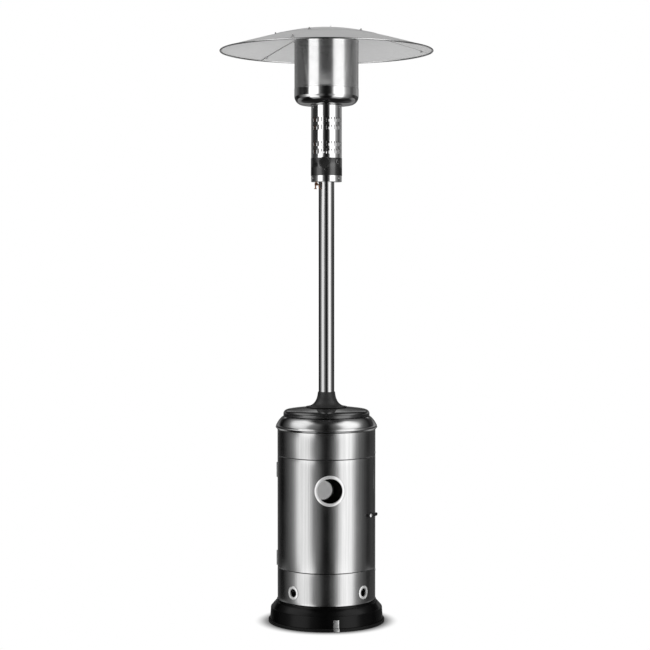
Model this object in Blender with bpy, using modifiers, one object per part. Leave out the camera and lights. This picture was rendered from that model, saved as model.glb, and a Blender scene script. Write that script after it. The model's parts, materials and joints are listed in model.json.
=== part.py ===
"""A propane patio heater: weighted round base, steel cylinder housing with a hinged door, slim post,
burner column with a control knob and an igniter button, perforated emitter and domed reflector.

Metres, +Z up, origin at the centre of the footprint. The door faces -Y. Azimuth is measured in degrees
from -Y, positive towards +X, so a point at azimuth a and radius r is (r sin a, -r cos a)."""

import math

import bmesh
import bpy

# ---- Driving dimensions (metres and degrees) -------------------------------------------------------

CLEAR = 0.0003                 # gap between two pieces that rest on each other
SHEET = 0.0010                 # gauge of the housing's sheet metal

BASE_RADIUS = 0.2230
BASE_WALL_RADIUS = 0.2170
BASE_TOP_Z = 0.0877
FOOT_RING_HEIGHT = 0.0120
BADGE_TOP_Z = 0.0440
BADGE_AZIMUTH = (6.5, 12.3)      # a strip of metal bent down over the foot ring
BALLAST_RADIUS = 0.1900
BALLAST_Z = (0.0140, 0.0240)

HOUSING_RADIUS = 0.1880
HOUSING_LIP = 0.0125           # inward flanges of the housing's rings and panels
LOWER_RING_Z = (0.0883, 0.2108)
DOOR_Z = (0.2125, 0.6390)
UPPER_RING_Z = (0.6407, 0.7405)
DOOR_AZIMUTH = (-89.3, 72.4)
BACK_AZIMUTH = (73.4, 268.5)

LOWER_VENT_RADIUS = 0.0180
LOWER_VENT_Z = 0.1320
LOWER_VENT_AZIMUTHS = (-42.0, 48.0, 138.0, -132.0)
DOOR_VENT_RADIUS = 0.0485
DOOR_VENT_PLACE = (4.0, 0.5240)        # azimuth, height
REAR_VENT_RADIUS = 0.0410
REAR_VENT_PLACE = (-175.0, 0.4800)

HINGE_AXIS = (-0.1890, 0.0016)
HINGE_HEIGHT = 0.0550
HINGE_CENTRES = {"upper": 0.5830, "lower": 0.2430}
KNUCKLE_RADIUS = 0.0030
PIN_RADIUS = 0.0016
PIN_HOLE_RADIUS = 0.0018

LATCH_PLACE = (58.3, 0.4210)           # azimuth, height
LATCH_LEVER_LENGTH = 0.0450
LATCH_CAM_LENGTH = 0.0600
LATCH_CAM_RADIUS = (0.1700, 0.1720)
SPINDLE_RADIUS = 0.0030

LEG_RADIUS = 0.0050
LEG_CIRCLE = 0.1660
LEG_AZIMUTHS = (-92.0, 92.0, 152.0)

SHOULDER_BEAD_RADIUS = 0.1950
SHOULDER_TOP_Z = 0.7910
CAP_RADIUS = 0.1655
CAP_TOP_Z = 0.8245
FLARE_TOP_Z = 0.8835
FLARE_RADIUS = 0.0790

POST_RADIUS = 0.0300
POST_WALL = 0.0015
POST_Z = (0.7610, 1.7050)
SUPPORT_PLATE_Z = 0.7510

COLUMN_RADIUS = 0.0585
COLUMN_WALL = 0.0010
COLUMN_Z = (1.6860, 1.9815)
PANEL_Z = (1.7090, 1.7760)
PANEL_HALF_ANGLE = 100.0

KNOB_X = -0.0071
KNOB_Z = 1.7570
KNOB_RADIUS = 0.0220
KNOB_BACK_Y = -0.0658
KNOB_FRONT_Y = -0.0840
STEM_RADIUS = 0.0030
VALVE_SIZE = (0.0320, 0.0360, 0.0320)
VALVE_TOP_Z = KNOB_Z + VALVE_SIZE[2] / 2

IGNITER_AZIMUTH = 44.0
IGNITER_Z = 1.7600
BUTTON_RADIUS = 0.0050

UNION_PLACE = (-0.0390, -0.0300)

EMITTER_RADIUS = 0.1225
EMITTER_Z = (1.9775, 2.0400, 2.2190)   # bowl bottom, band, screen top

DISH_RADIUS = 0.4065
DISH_RIM_Z = 2.1835
DISH_RISE = 0.0810
DISH_POWER = 1.2
DISH_CROWN = 0.25              # flattens the crown, as a share of the dish's radius
DISH_LIP = 0.0035
DISH_GAUGE = 0.0009
CENTRE_SHARE = 0.50            # the centre panel's radius over the dish's
PETAL_START_SHARE = 0.44
PETAL_SEAMS = (-19.0, 101.0, 220.0, 341.0)
STUD_CIRCLE = 0.0600
STUD_RADIUS = 0.0030
STUD_AZIMUTHS = (15.0, 135.0, 255.0)

STEPS_LARGE, STEPS_MEDIUM, STEPS_SMALL = 32, 24, 12
VENT_STEPS = 16

# ---- Finishes: colour, roughness, metallic ---------------------------------------------------------

FINISHES = {
    "brushed_steel": ((0.62, 0.62, 0.62), 0.30, 1.0),
    "polished_steel": ((0.74, 0.74, 0.74), 0.12, 1.0),
    "aluminium": ((0.66, 0.66, 0.67), 0.34, 1.0),
    "zinc_plate": ((0.50, 0.50, 0.51), 0.42, 1.0),
    "black_enamel": ((0.018, 0.018, 0.018), 0.28, 0.0),
    "black_plastic": ((0.020, 0.020, 0.020), 0.45, 0.0),
    "black_rubber": ((0.012, 0.012, 0.012), 0.70, 0.0),
    "cast_iron": ((0.070, 0.070, 0.070), 0.65, 0.6),
    "brass": ((0.55, 0.40, 0.18), 0.30, 1.0),
    "copper": ((0.52, 0.27, 0.16), 0.30, 1.0),
    "white_ceramic": ((0.75, 0.74, 0.70), 0.50, 0.0),
}

# ---- Scene helpers ---------------------------------------------------------------------------------


def clear_scene():
    for ob in list(bpy.data.objects):
        bpy.data.objects.remove(ob, do_unlink=True)


def make_collection(name):
    made = bpy.data.collections.new(name)
    bpy.context.scene.collection.children.link(made)
    return made


clear_scene()
PARTS = make_collection("patio_heater")
CUTTERS = make_collection("patio_heater_cutters")


def finish_with(ob, finish):
    """Give the object its own Principled material in one of the finishes."""
    colour, roughness, metallic = FINISHES[finish]
    mat = bpy.data.materials.new(ob.name + "_" + finish)
    mat.use_nodes = True
    shader = mat.node_tree.nodes["Principled BSDF"]
    shader.inputs["Base Color"].default_value = (*colour, 1.0)
    shader.inputs["Roughness"].default_value = roughness
    shader.inputs["Metallic"].default_value = metallic
    ob.data.materials.append(mat)


def add_object(name, data, finish=None):
    """Link a new part, or a cutter when no finish is given."""
    ob = bpy.data.objects.new(name, data)
    if finish is None:
        CUTTERS.objects.link(ob)
        ob.hide_render = True
        ob.display_type = "WIRE"
    else:
        PARTS.objects.link(ob)
        finish_with(ob, finish)
    return ob


def polar(radius, azimuth, z):
    angle = math.radians(azimuth)
    return (radius * math.sin(angle), -radius * math.cos(angle), z)


def stand_at(ob, radius, azimuth, z):
    """Place an upright object so that its local -Y points outwards at that azimuth."""
    ob.location = polar(radius, azimuth, z)
    ob.rotation_euler = (0.0, 0.0, math.radians(azimuth))
    return ob


def face_out(ob, radius, azimuth, z):
    """Place an object so that its local +Z points outwards at that azimuth and its +Y points up."""
    ob.location = polar(radius, azimuth, z)
    ob.rotation_euler = (math.radians(90.0), 0.0, math.radians(azimuth))
    return ob


# ---- Shape helpers ---------------------------------------------------------------------------------


def profile_mesh(name, points, closed):
    mesh = bpy.data.meshes.new(name)
    count = len(points)
    edges = [(i, i + 1) for i in range(count - 1)]
    if closed:
        edges.append((count - 1, 0))
    mesh.from_pydata([(r, 0.0, z) for r, z in points], edges, [])
    return mesh


def add_screw(ob, steps, angle=360.0):
    turn = ob.modifiers.new("turn", "SCREW")
    turn.axis = "Z"
    turn.angle = math.radians(angle)
    turn.steps = steps
    turn.render_steps = steps
    turn.use_merge_vertices = True
    turn.merge_threshold = 0.00001
    turn.use_smooth_shade = True


def turned(name, points, finish, steps=STEPS_MEDIUM, closed=True):
    """A solid of revolution. Its profile (radius, height) runs down the outer side."""
    ob = add_object(name, profile_mesh(name, points, closed), finish)
    add_screw(ob, steps)
    return ob


def sheet(name, points, finish, steps=STEPS_LARGE, gauge=SHEET, azimuths=None):
    """A turned sheet-metal shell, thickened inwards. azimuths limits it to a part of the circle."""
    ob = add_object(name, profile_mesh(name, points, False), finish)
    if azimuths is None:
        add_screw(ob, steps)
    else:
        add_screw(ob, steps, azimuths[1] - azimuths[0])
        ob.rotation_euler = (0.0, 0.0, math.radians(azimuths[0] - 90.0))
    thick = ob.modifiers.new("gauge", "SOLIDIFY")
    thick.thickness = gauge
    thick.offset = -1.0
    thick.use_even_offset = True
    return ob


def box(name, size, finish=None, bevel=0.0):
    """An upright box centred on its origin."""
    mesh = bpy.data.meshes.new(name)
    shape = bmesh.new()
    bmesh.ops.create_cube(shape, size=1.0)
    bmesh.ops.scale(shape, vec=size, verts=shape.verts)
    shape.to_mesh(mesh)
    shape.free()
    ob = add_object(name, mesh, finish)
    if bevel:
        edge = ob.modifiers.new("edges", "BEVEL")
        edge.width = bevel
        edge.segments = 2
    return ob


def rod(name, radius, length, finish=None, steps=STEPS_SMALL):
    """A cylinder along its local Z, centred on its origin."""
    mesh = bpy.data.meshes.new(name)
    shape = bmesh.new()
    bmesh.ops.create_cone(shape, cap_ends=True, segments=steps, radius1=radius, radius2=radius,
                          depth=length)
    shape.to_mesh(mesh)
    shape.free()
    return add_object(name, mesh, finish)


def boolean(ob, other, operation):
    step = ob.modifiers.new(operation.lower(), "BOOLEAN")
    step.operation = operation
    step.solver = "EXACT"
    step.object = other


def round_hole(ob, radius, azimuth, z, at_radius, steps=STEPS_SMALL, depth=0.040):
    """Cut a round hole through a wall, pointing outwards at that azimuth."""
    cutter = rod(ob.name + "_hole", radius, depth, steps=steps)
    boolean(ob, face_out(cutter, at_radius, azimuth, z), "DIFFERENCE")


def wire(name, points, radius, finish, steps_round=2):
    """A bent rod or tube: a poly curve through the points, with filled caps."""
    curve = bpy.data.curves.new(name, "CURVE")
    curve.dimensions = "3D"
    curve.bevel_depth = radius
    curve.bevel_resolution = steps_round
    curve.use_fill_caps = True
    spline = curve.splines.new("POLY")
    spline.points.add(len(points) - 1)
    for point, place in zip(spline.points, points):
        point.co = (*place, 1.0)
    return add_object(name, curve, finish)


def plate_from_outline(name, outline, height, finish):
    """A flat outline seen from above, extruded upwards around its origin."""
    mesh = bpy.data.meshes.new(name)
    shape = bmesh.new()
    face = shape.faces.new([shape.verts.new((x, y, -height / 2)) for x, y in outline])
    grown = bmesh.ops.extrude_face_region(shape, geom=[face])
    top = [item for item in grown["geom"] if isinstance(item, bmesh.types.BMVert)]
    bmesh.ops.translate(shape, vec=(0.0, 0.0, height), verts=top)
    bmesh.ops.recalc_face_normals(shape, faces=shape.faces)
    shape.to_mesh(mesh)
    shape.free()
    return add_object(name, mesh, finish)


def arc(centre, radius, start, end, count):
    """Points on an arc in the profile plane, angles in degrees from the radial direction."""
    points = []
    for i in range(count + 1):
        angle = math.radians(start + (end - start) * i / count)
        points.append((centre[0] + radius * math.cos(angle), centre[1] + radius * math.sin(angle)))
    return points


def bezier(p0, p1, p2, p3, count):
    points = []
    for i in range(count + 1):
        t = i / count
        weights = ((1 - t) ** 3, 3 * t * (1 - t) ** 2, 3 * t * t * (1 - t), t ** 3)
        points.append(tuple(sum(w * p[axis] for w, p in zip(weights, (p0, p1, p2, p3))) for axis in (0, 1)))
    return points


def dish_height(radius):
    """The reflector's height above its rim at a radius."""
    def drop(share):
        return (share ** 4 + DISH_CROWN ** 4) ** (DISH_POWER / 4)

    return DISH_RISE * (drop(1.0) - drop(radius / DISH_RADIUS)) / (drop(1.0) - drop(0.0))


# ---- Base ------------------------------------------------------------------------------------------


def build_base():
    shell = [(0.0, BASE_TOP_Z), (0.1900, BASE_TOP_Z), (0.1905, 0.0812), (0.1925, 0.0795), (0.2095, 0.0590)]
    shell += arc((0.2070, 0.0530), 0.0075, 40.0, 4.0, 3)
    shell += [(BASE_WALL_RADIUS, FOOT_RING_HEIGHT), (BASE_WALL_RADIUS, 0.0040)]
    sheet("base_shell", shell, "black_enamel", gauge=0.0015)

    groove_radius = BASE_WALL_RADIUS + 0.0006
    ring = [(groove_radius, FOOT_RING_HEIGHT), (BASE_RADIUS - 0.0015, FOOT_RING_HEIGHT - 0.0003),
            (BASE_RADIUS, 0.0095), (BASE_RADIUS, 0.0), (0.2080, 0.0), (0.2080, 0.0035),
            (groove_radius, 0.0035)]
    turned("foot_ring", ring, "black_rubber", STEPS_LARGE)

    low, high = BALLAST_Z
    turned("ballast_plate", [(0.0, high), (BALLAST_RADIUS, high), (BALLAST_RADIUS, low), (0.0, low)],
           "cast_iron", STEPS_LARGE, closed=False)

    wall, rim = BASE_WALL_RADIUS + 0.0014, BASE_RADIUS + 0.0012
    strip = [(wall - 0.0006, BADGE_TOP_Z), (wall, 0.0136), (rim, 0.0136), (rim, 0.0010)]
    sheet("base_badge", strip, "brushed_steel", 3, gauge=0.0008, azimuths=BADGE_AZIMUTH)


# ---- Cylinder housing ------------------------------------------------------------------------------


def flanged_wall(z_low, z_high):
    """Profile of a wall with a flange turned inwards at its top and bottom."""
    lip = HOUSING_RADIUS - HOUSING_LIP
    return [(lip, z_high), (HOUSING_RADIUS, z_high), (HOUSING_RADIUS, z_low), (lip, z_low)]


def eyelet(name, radius, azimuth, z, flange, steps=24):
    """A bright rim pressed into a round hole: a neck through the wall and a flange curved to it."""
    neck, back = radius - 0.0005, 0.0006
    points = [(neck - 0.0012, 0.0020), (neck + 0.0010, 0.0030), (radius + flange - 0.0015, 0.0022),
              (radius + flange, back), (neck, back), (neck, -0.0040), (neck - 0.0012, -0.0040)]
    ob = turned(name, points, "polished_steel", steps)
    mesh = bpy.data.meshes.new_from_object(ob.evaluated_get(bpy.context.evaluated_depsgraph_get()))
    for vertex in mesh.vertices:
        vertex.co.z -= HOUSING_RADIUS - math.sqrt(HOUSING_RADIUS ** 2 - vertex.co.x ** 2)
    ob.modifiers.clear()
    ob.data = mesh
    return face_out(ob, HOUSING_RADIUS, azimuth, z)


def build_housing():
    ring = sheet("lower_ring", flanged_wall(*LOWER_RING_Z), "brushed_steel")
    for number, azimuth in enumerate(LOWER_VENT_AZIMUTHS, 1):
        round_hole(ring, LOWER_VENT_RADIUS, azimuth, LOWER_VENT_Z, HOUSING_RADIUS, VENT_STEPS)
        eyelet("lower_vent_rim_%d" % number, LOWER_VENT_RADIUS, azimuth, LOWER_VENT_Z, 0.0075, VENT_STEPS)

    back = sheet("back_panel", flanged_wall(*DOOR_Z), "brushed_steel", 22, azimuths=BACK_AZIMUTH)
    round_hole(back, REAR_VENT_RADIUS, *REAR_VENT_PLACE, HOUSING_RADIUS, 24)
    eyelet("rear_vent_rim", REAR_VENT_RADIUS, *REAR_VENT_PLACE, 0.0095)

    sheet("upper_ring", flanged_wall(*UPPER_RING_Z), "brushed_steel")

    plate = [(0.0120, SUPPORT_PLATE_Z + 0.0030), (0.1700, SUPPORT_PLATE_Z + 0.0030),
             (0.1700, SUPPORT_PLATE_Z), (0.0120, SUPPORT_PLATE_Z)]
    turned("support_plate", plate, "zinc_plate", STEPS_LARGE)
    leg_z = (BASE_TOP_Z + CLEAR, SUPPORT_PLATE_Z - CLEAR)
    for number, azimuth in enumerate(LEG_AZIMUTHS, 1):
        leg = rod("support_leg_%d" % number, LEG_RADIUS, leg_z[1] - leg_z[0], "zinc_plate", 12)
        stand_at(leg, LEG_CIRCLE, azimuth, sum(leg_z) / 2)


def build_top():
    shoulder = [(0.1500, SHOULDER_TOP_Z), (0.1645, SHOULDER_TOP_Z)]
    shoulder += bezier((0.1675, 0.7895), (0.1760, 0.7840), (0.1880, 0.7680), (0.1938, 0.7540), 4)
    shoulder += [(SHOULDER_BEAD_RADIUS, 0.7510), (SHOULDER_BEAD_RADIUS, 0.7460), (0.1925, 0.7435)]
    shoulder += [(0.1900, 0.7420)]
    sheet("shoulder_ring", shoulder, "brushed_steel")

    hole = POST_RADIUS + 0.0065
    cap = [(hole, CAP_TOP_Z), (0.0750, CAP_TOP_Z - 0.0006), (0.1300, 0.8178), (0.1500, 0.8152),
           (0.1582, 0.8125), (0.1628, 0.8078), (CAP_RADIUS, 0.8010), (CAP_RADIUS, 0.7930)]
    sheet("cap_top", cap, "black_enamel")

    lip_z = CAP_TOP_Z + 0.0022
    flare = [(POST_RADIUS + 0.0016, FLARE_TOP_Z)]
    flare += bezier((0.0330, FLARE_TOP_Z - 0.0010), (0.0360, 0.8450), (0.0520, 0.8290),
                    (FLARE_RADIUS, lip_z), 6)
    sheet("post_flare", flare, "black_enamel", STEPS_MEDIUM)


# ---- Door, hinges and latch ------------------------------------------------------------------------


def hinge_leaf(name, side, knuckles, z):
    """A leaf on the inside of the wall, with a strap and knuckles round the pin.

    side is -1 for the door's leaf and +1 for the frame's; knuckles lists (low, high) above z."""
    x, y = HINGE_AXIS
    leaf_radius, leaf_width, leaf_gauge = 0.18475, 0.0150, 0.0015
    hinge_azimuth = math.degrees(math.atan2(x, -y))
    reach = math.degrees((leaf_width / 2 + 0.0010) / leaf_radius)
    leaf = box(name, (leaf_width, leaf_gauge, HINGE_HEIGHT), "zinc_plate")
    stand_at(leaf, leaf_radius, hinge_azimuth - side * reach, z)
    for low, high in knuckles:
        middle, length = z + (low + high) / 2, high - low
        strap = box(name + "_strap", (0.0062, 0.0018, length))
        strap.location = (x + 0.0034, y + side * 0.0008, middle)
        boolean(leaf, strap, "UNION")
        knuckle = rod(name + "_knuckle", KNUCKLE_RADIUS, length)
        knuckle.location = (x, y, middle)
        boolean(leaf, knuckle, "UNION")
    bore = rod(name + "_bore", PIN_HOLE_RADIUS, 2 * HINGE_HEIGHT)
    bore.location = (x, y, z)
    boolean(leaf, bore, "DIFFERENCE")


def build_hinge(which, z):
    third, half, gap = HINGE_HEIGHT / 6, HINGE_HEIGHT / 2, 0.0004
    hinge_leaf(which + "_hinge_door_leaf", -1, [(-third + gap, third - gap)], z)
    hinge_leaf(which + "_hinge_frame_leaf", 1, [(-half, -third), (third, half)], z)
    head = half + CLEAR
    profile = [(0.0, head + 0.0014), (0.0018, head + 0.0014), (0.0026, head + 0.0008), (0.0026, head),
               (PIN_RADIUS, head), (PIN_RADIUS, -half - 0.0010), (0.0, -half - 0.0010)]
    pin = turned(which + "_hinge_pin", profile, "zinc_plate", STEPS_SMALL, closed=False)
    pin.location = (*HINGE_AXIS, z)


def tapered_bar(length, start_radius, end_radius, count=6):
    """Outline of a flat bar with round ends, from the origin along +X."""
    points = []
    for centre, radius, start in ((0.0, start_radius, 90.0), (length, end_radius, -90.0)):
        points += [(centre + x, y) for x, y in arc((0.0, 0.0), radius, start, start + 180.0, count)]
    return points


def build_latch(door):
    """A lever outside the door turns a cam inside it, which swings behind a strike on the frame."""
    azimuth, z = LATCH_PLACE
    round_hole(door, SPINDLE_RADIUS + 0.0012, azimuth, z, HOUSING_RADIUS)

    lever_radius, gauge = 0.1955, 0.0040
    outline = tapered_bar(LATCH_LEVER_LENGTH, 0.0080, 0.0060)
    lever = plate_from_outline("latch_lever", outline, gauge, "black_plastic")
    face_out(lever, lever_radius, azimuth, z)
    hub = face_out(rod("latch_lever_hub", 0.0070, 0.0070), lever_radius - 0.0034, azimuth, z)
    bore = face_out(rod("latch_lever_bore", SPINDLE_RADIUS + 0.0004, 0.0300), lever_radius, azimuth, z)
    boolean(lever, hub, "UNION")
    boolean(lever, bore, "DIFFERENCE")

    low, high = LATCH_CAM_RADIUS
    outline = [(-y, x) for x, y in tapered_bar(LATCH_CAM_LENGTH, 0.0070, 0.0050)]
    cam = plate_from_outline("latch_spindle", outline, high - low, "polished_steel")
    face_out(cam, (low + high) / 2, azimuth, z)
    top = lever_radius + gauge / 2 + CLEAR
    head_middle = top + 0.0010
    shaft = rod("latch_spindle_shaft", SPINDLE_RADIUS, head_middle - low)
    face_out(shaft, (head_middle + low) / 2, azimuth, z)
    head = face_out(rod("latch_spindle_head", 0.0055, 0.0020), head_middle, azimuth, z)
    boolean(cam, shaft, "UNION")
    boolean(cam, head, "UNION")

    strike = box("latch_strike", (0.0090, 0.0023, 0.0300), "zinc_plate")
    stand_at(strike, 0.18465, azimuth + 18.0, z)


def build_door():
    door = sheet("door", flanged_wall(*DOOR_Z), "brushed_steel", 18, azimuths=DOOR_AZIMUTH)
    round_hole(door, DOOR_VENT_RADIUS, *DOOR_VENT_PLACE, HOUSING_RADIUS, 24)
    eyelet("door_vent_rim", DOOR_VENT_RADIUS, *DOOR_VENT_PLACE, 0.0095)
    build_latch(door)
    for which, z in HINGE_CENTRES.items():
        build_hinge(which, z)


# ---- Post and gas supply ---------------------------------------------------------------------------


def build_post():
    low, high = POST_Z
    inner = POST_RADIUS - POST_WALL
    turned("post", [(POST_RADIUS, high), (POST_RADIUS, low), (inner, low), (inner, high)], "polished_steel")

    foot_z = SUPPORT_PLATE_Z + 0.0030 + CLEAR
    bore = POST_RADIUS + 0.0004
    socket = [(bore, 0.7980), (0.0355, 0.7980), (0.0355, foot_z + 0.0060), (0.0560, foot_z + 0.0050),
              (0.0560, foot_z), (0.0150, foot_z), (0.0150, foot_z + 0.0060), (bore, foot_z + 0.0060)]
    turned("post_socket", socket, "zinc_plate")

    hose = [(0.0, 0.0, 0.7365), (0.0, 0.0, 0.7700), (0.0, 0.0, 1.6600), (-0.0020, -0.0060, 1.6900),
            (-0.0060, -0.0160, 1.7150), (-0.0071, -0.0200, 1.7402)]
    wire("gas_hose", hose, 0.0040, "black_rubber")

    regulator = [(0.0, 0.7360), (0.0070, 0.7360), (0.0070, 0.7250), (0.0240, 0.7200), (0.0300, 0.7120),
                 (0.0300, 0.7010), (0.0180, 0.6920), (0.0080, 0.6900), (0.0080, 0.6600), (0.0050, 0.6560),
                 (0.0, 0.6560)]
    turned("regulator", regulator, "zinc_plate", 24, closed=False)
    nut = [(0.0084, 0.6880), (0.0160, 0.6880), (0.0185, 0.6850), (0.0185, 0.6640), (0.0084, 0.6640)]
    turned("regulator_nut", nut, "black_plastic", 24)


# ---- Burner column ---------------------------------------------------------------------------------


def knob_axis_rod(name, radius, y_low, y_high, finish=None):
    """A cylinder on the control knob's axis."""
    ob = rod(name, radius, y_high - y_low, finish)
    ob.location = (KNOB_X, (y_low + y_high) / 2, KNOB_Z)
    ob.rotation_euler.x = math.radians(90.0)
    return ob


def turned_on_knob_axis(name, points, finish, steps=24, closed=True):
    """A piece turned about the control knob's axis, local +Z pointing out of the column."""
    ob = turned(name, points, finish, steps, closed)
    ob.location = (KNOB_X, 0.0, KNOB_Z)
    ob.rotation_euler.x = math.radians(90.0)
    return ob


def build_column():
    low, high = COLUMN_Z
    inner = COLUMN_RADIUS - COLUMN_WALL
    wall = [(COLUMN_RADIUS, high), (COLUMN_RADIUS, low), (inner, low), (inner, high)]
    column = turned("burner_column", wall, "polished_steel")
    panel_radius = COLUMN_RADIUS + CLEAR + 0.0008
    panel = sheet("control_panel", [(panel_radius, PANEL_Z[1]), (panel_radius, PANEL_Z[0])], "black_enamel",
                  18, gauge=0.0008, azimuths=(-PANEL_HALF_ANGLE, PANEL_HALF_ANGLE))
    for wall in (column, panel):
        boolean(wall, knob_axis_rod(wall.name + "_stem_hole", 0.0045, -0.0700, -0.0500), "DIFFERENCE")
        round_hole(wall, 0.0060, IGNITER_AZIMUTH, IGNITER_Z, COLUMN_RADIUS, depth=0.0200)

    bore = POST_RADIUS + 0.0005
    bottom = [(inner - CLEAR, 1.6935), (inner - CLEAR, 1.6890), (0.0500, 1.6868), (bore, 1.6885)]
    sheet("column_bottom", bottom, "polished_steel", STEPS_MEDIUM, gauge=0.0010)


def build_controls():
    valve = box("gas_valve", VALVE_SIZE, "brass", bevel=0.0015)
    valve.location = (KNOB_X, -0.0200, KNOB_Z)
    boolean(valve, knob_axis_rod("gas_valve_bore", 0.0034, -0.0500, -0.0220), "DIFFERENCE")
    knob_axis_rod("valve_stem", STEM_RADIUS, -0.0720, -0.0290, "zinc_plate")
    collar = [(0.0034, 0.0490), (0.0080, 0.0490), (0.0080, 0.0460), (0.0034, 0.0460)]
    turned_on_knob_axis("push_collar", collar, "zinc_plate")

    back, front = -KNOB_BACK_Y, -KNOB_FRONT_Y
    knob = [(0.0, front), (KNOB_RADIUS - 0.0040, front), (KNOB_RADIUS - 0.0018, front - 0.0015),
            (KNOB_RADIUS - 0.0010, back + 0.0050), (KNOB_RADIUS, back + 0.0040), (KNOB_RADIUS, back),
            (STEM_RADIUS + 0.0004, back), (STEM_RADIUS + 0.0004, 0.0726), (0.0, 0.0726)]
    turned_on_knob_axis("control_knob", knob, "black_plastic", closed=False)

    bore = BUTTON_RADIUS + 0.0005
    piezo = [(0.0, 0.0490), (bore, 0.0490), (bore, 0.0555), (0.0080, 0.0555), (0.0080, 0.0280),
             (0.0, 0.0280)]
    igniter = turned("piezo_igniter", piezo, "white_ceramic", STEPS_SMALL, closed=False)
    face_out(igniter, 0.0, IGNITER_AZIMUTH, IGNITER_Z)
    button = [(0.0, 0.0670), (BUTTON_RADIUS - 0.0010, 0.0670), (BUTTON_RADIUS, 0.0660),
              (BUTTON_RADIUS, 0.0560), (0.0, 0.0560)]
    face_out(turned("igniter_button", button, "black_plastic", STEPS_SMALL, closed=False),
             0.0, IGNITER_AZIMUTH, IGNITER_Z)

    switch = box("tilt_switch", (0.0200, 0.0140, 0.0200), "black_plastic", bevel=0.0010)
    switch.location = (0.0260, 0.0260, 1.7230)


def build_burner():
    low = VALVE_TOP_Z + 2 * CLEAR
    injector = [(0.0, 1.7960), (0.0035, 1.7960), (0.0060, 1.7900), (0.0060, low), (0.0, low)]
    ob = turned("gas_injector", injector, "brass", 12, closed=False)
    ob.location = (KNOB_X, -0.0120, 0.0)

    mixer = [(0.0135, 1.9840), (0.0135, 1.8600), (0.0105, 1.8350), (0.0165, 1.8020), (0.0153, 1.8020),
             (0.0093, 1.8350), (0.0123, 1.8600), (0.0123, 1.9840)]
    mixing = turned("mixer_tube", mixer, "zinc_plate", 20)
    mixing.location = (KNOB_X, -0.0120, 0.0)

    head = [(0.0, 2.0400), (0.0300, 2.0390), (0.0430, 2.0330), (0.0450, 2.0250), (0.0450, 1.9900),
            (0.0400, 1.9852), (0.0, 1.9846)]
    turned("burner_head", head, "zinc_plate", 24, closed=False)

    for name, azimuth, radius, finish in (("pilot_tube", -34.0, 0.0022, "copper"),
                                          ("thermocouple", -62.0, 0.0016, "copper"),
                                          ("spark_electrode", 40.0, 0.0018, "white_ceramic")):
        start = 1.7900
        route = [polar(0.0510, azimuth, z) for z in (start, 1.8600, 1.9300, 2.0000, 2.0340)]
        route += [polar(0.0440, azimuth, 2.0480), polar(0.0340, azimuth, 2.0520)]
        wire(name, route, radius, finish)


def build_brass_union():
    """The gas test union under the column, with its copper feed curving into the post."""
    x, y = UNION_PLACE
    body = rod("test_union", 0.0055, 0.0100, "brass", 12)
    body.location = (x, y, 1.6760)
    top = rod("test_union_neck", 0.0036, 0.0100, steps=12)
    top.location = (x, y, 1.6815)
    drain = rod("test_union_drain", 0.0030, 0.0160, steps=12)
    drain.location = (x - 0.0026, y, 1.6660)
    foot = rod("test_union_foot", 0.0050, 0.0032, steps=6)
    foot.location = (x - 0.0026, y, 1.6590)
    for piece in (top, drain, foot):
        boolean(body, piece, "UNION")
    route = [(x + 0.0066, y, 1.6765), (x + 0.0085, y + 0.0002, 1.6755), (x + 0.0102, y + 0.0008, 1.6700),
             (x + 0.0110, y + 0.0020, 1.6640), (x + 0.0126, y + 0.0040, 1.6600),
             (x + 0.0171, y + 0.0081, 1.6580)]
    wire("test_union_tube", route, 0.0019, "copper")


# ---- Emitter and reflector -------------------------------------------------------------------------


def build_emitter():
    bottom, band, top = EMITTER_Z
    bend = 0.0330
    bowl = [(EMITTER_RADIUS, band)]
    bowl += arc((EMITTER_RADIUS - bend, bottom + bend), bend, 0.0, -90.0, 5)
    bowl += [(COLUMN_RADIUS + 0.0008, bottom)]
    sheet("emitter_bowl", bowl, "polished_steel", gauge=0.0010)
    screen = [(EMITTER_RADIUS, top), (EMITTER_RADIUS, band + 0.0005)]
    sheet("emitter_screen", screen, "brushed_steel", gauge=0.0010)

    low = top + CLEAR
    disc = [(0.0, low + 0.0020), (EMITTER_RADIUS, low + 0.0020), (EMITTER_RADIUS, low), (0.0, low)]
    lid = turned("emitter_lid", disc, "zinc_plate", STEPS_LARGE, closed=False)
    stud_top = DISH_RIM_Z + dish_height(STUD_CIRCLE) + 0.0070
    for azimuth in STUD_AZIMUTHS:
        stud = rod("emitter_lid_stud", STUD_RADIUS, stud_top - low - 0.0010, steps=12)
        stud.location = polar(STUD_CIRCLE, azimuth, (stud_top + low + 0.0010) / 2)
        boolean(lid, stud, "UNION")


def build_reflector():
    lap = 0.0016
    inner, outer = PETAL_START_SHARE * DISH_RADIUS, DISH_RADIUS
    count = 5
    petal = []
    for i in range(count + 1):
        radius = inner + (outer - inner) * i / count
        petal.append((radius, DISH_RIM_Z + dish_height(radius)))
    petal.append((outer, DISH_RIM_Z - DISH_LIP))
    seam = 0.15
    for number, (start, end) in enumerate(zip(PETAL_SEAMS, PETAL_SEAMS[1:]), 1):
        sheet("reflector_petal_%d" % number, petal, "aluminium", 14, DISH_GAUGE,
              (start + seam, end - seam))

    rim = CENTRE_SHARE * DISH_RADIUS
    rings = 4
    centre = [(rim * i / rings, DISH_RIM_Z + dish_height(rim * i / rings) + lap) for i in range(rings + 1)]
    panel = sheet("reflector_centre", centre, "aluminium", STEPS_LARGE, DISH_GAUGE)
    for azimuth in STUD_AZIMUTHS:
        hole = rod("reflector_centre_hole", STUD_RADIUS + 0.0006, 0.0400, steps=12)
        hole.location = polar(STUD_CIRCLE, azimuth, DISH_RIM_Z + dish_height(STUD_CIRCLE))
        boolean(panel, hole, "DIFFERENCE")


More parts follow.
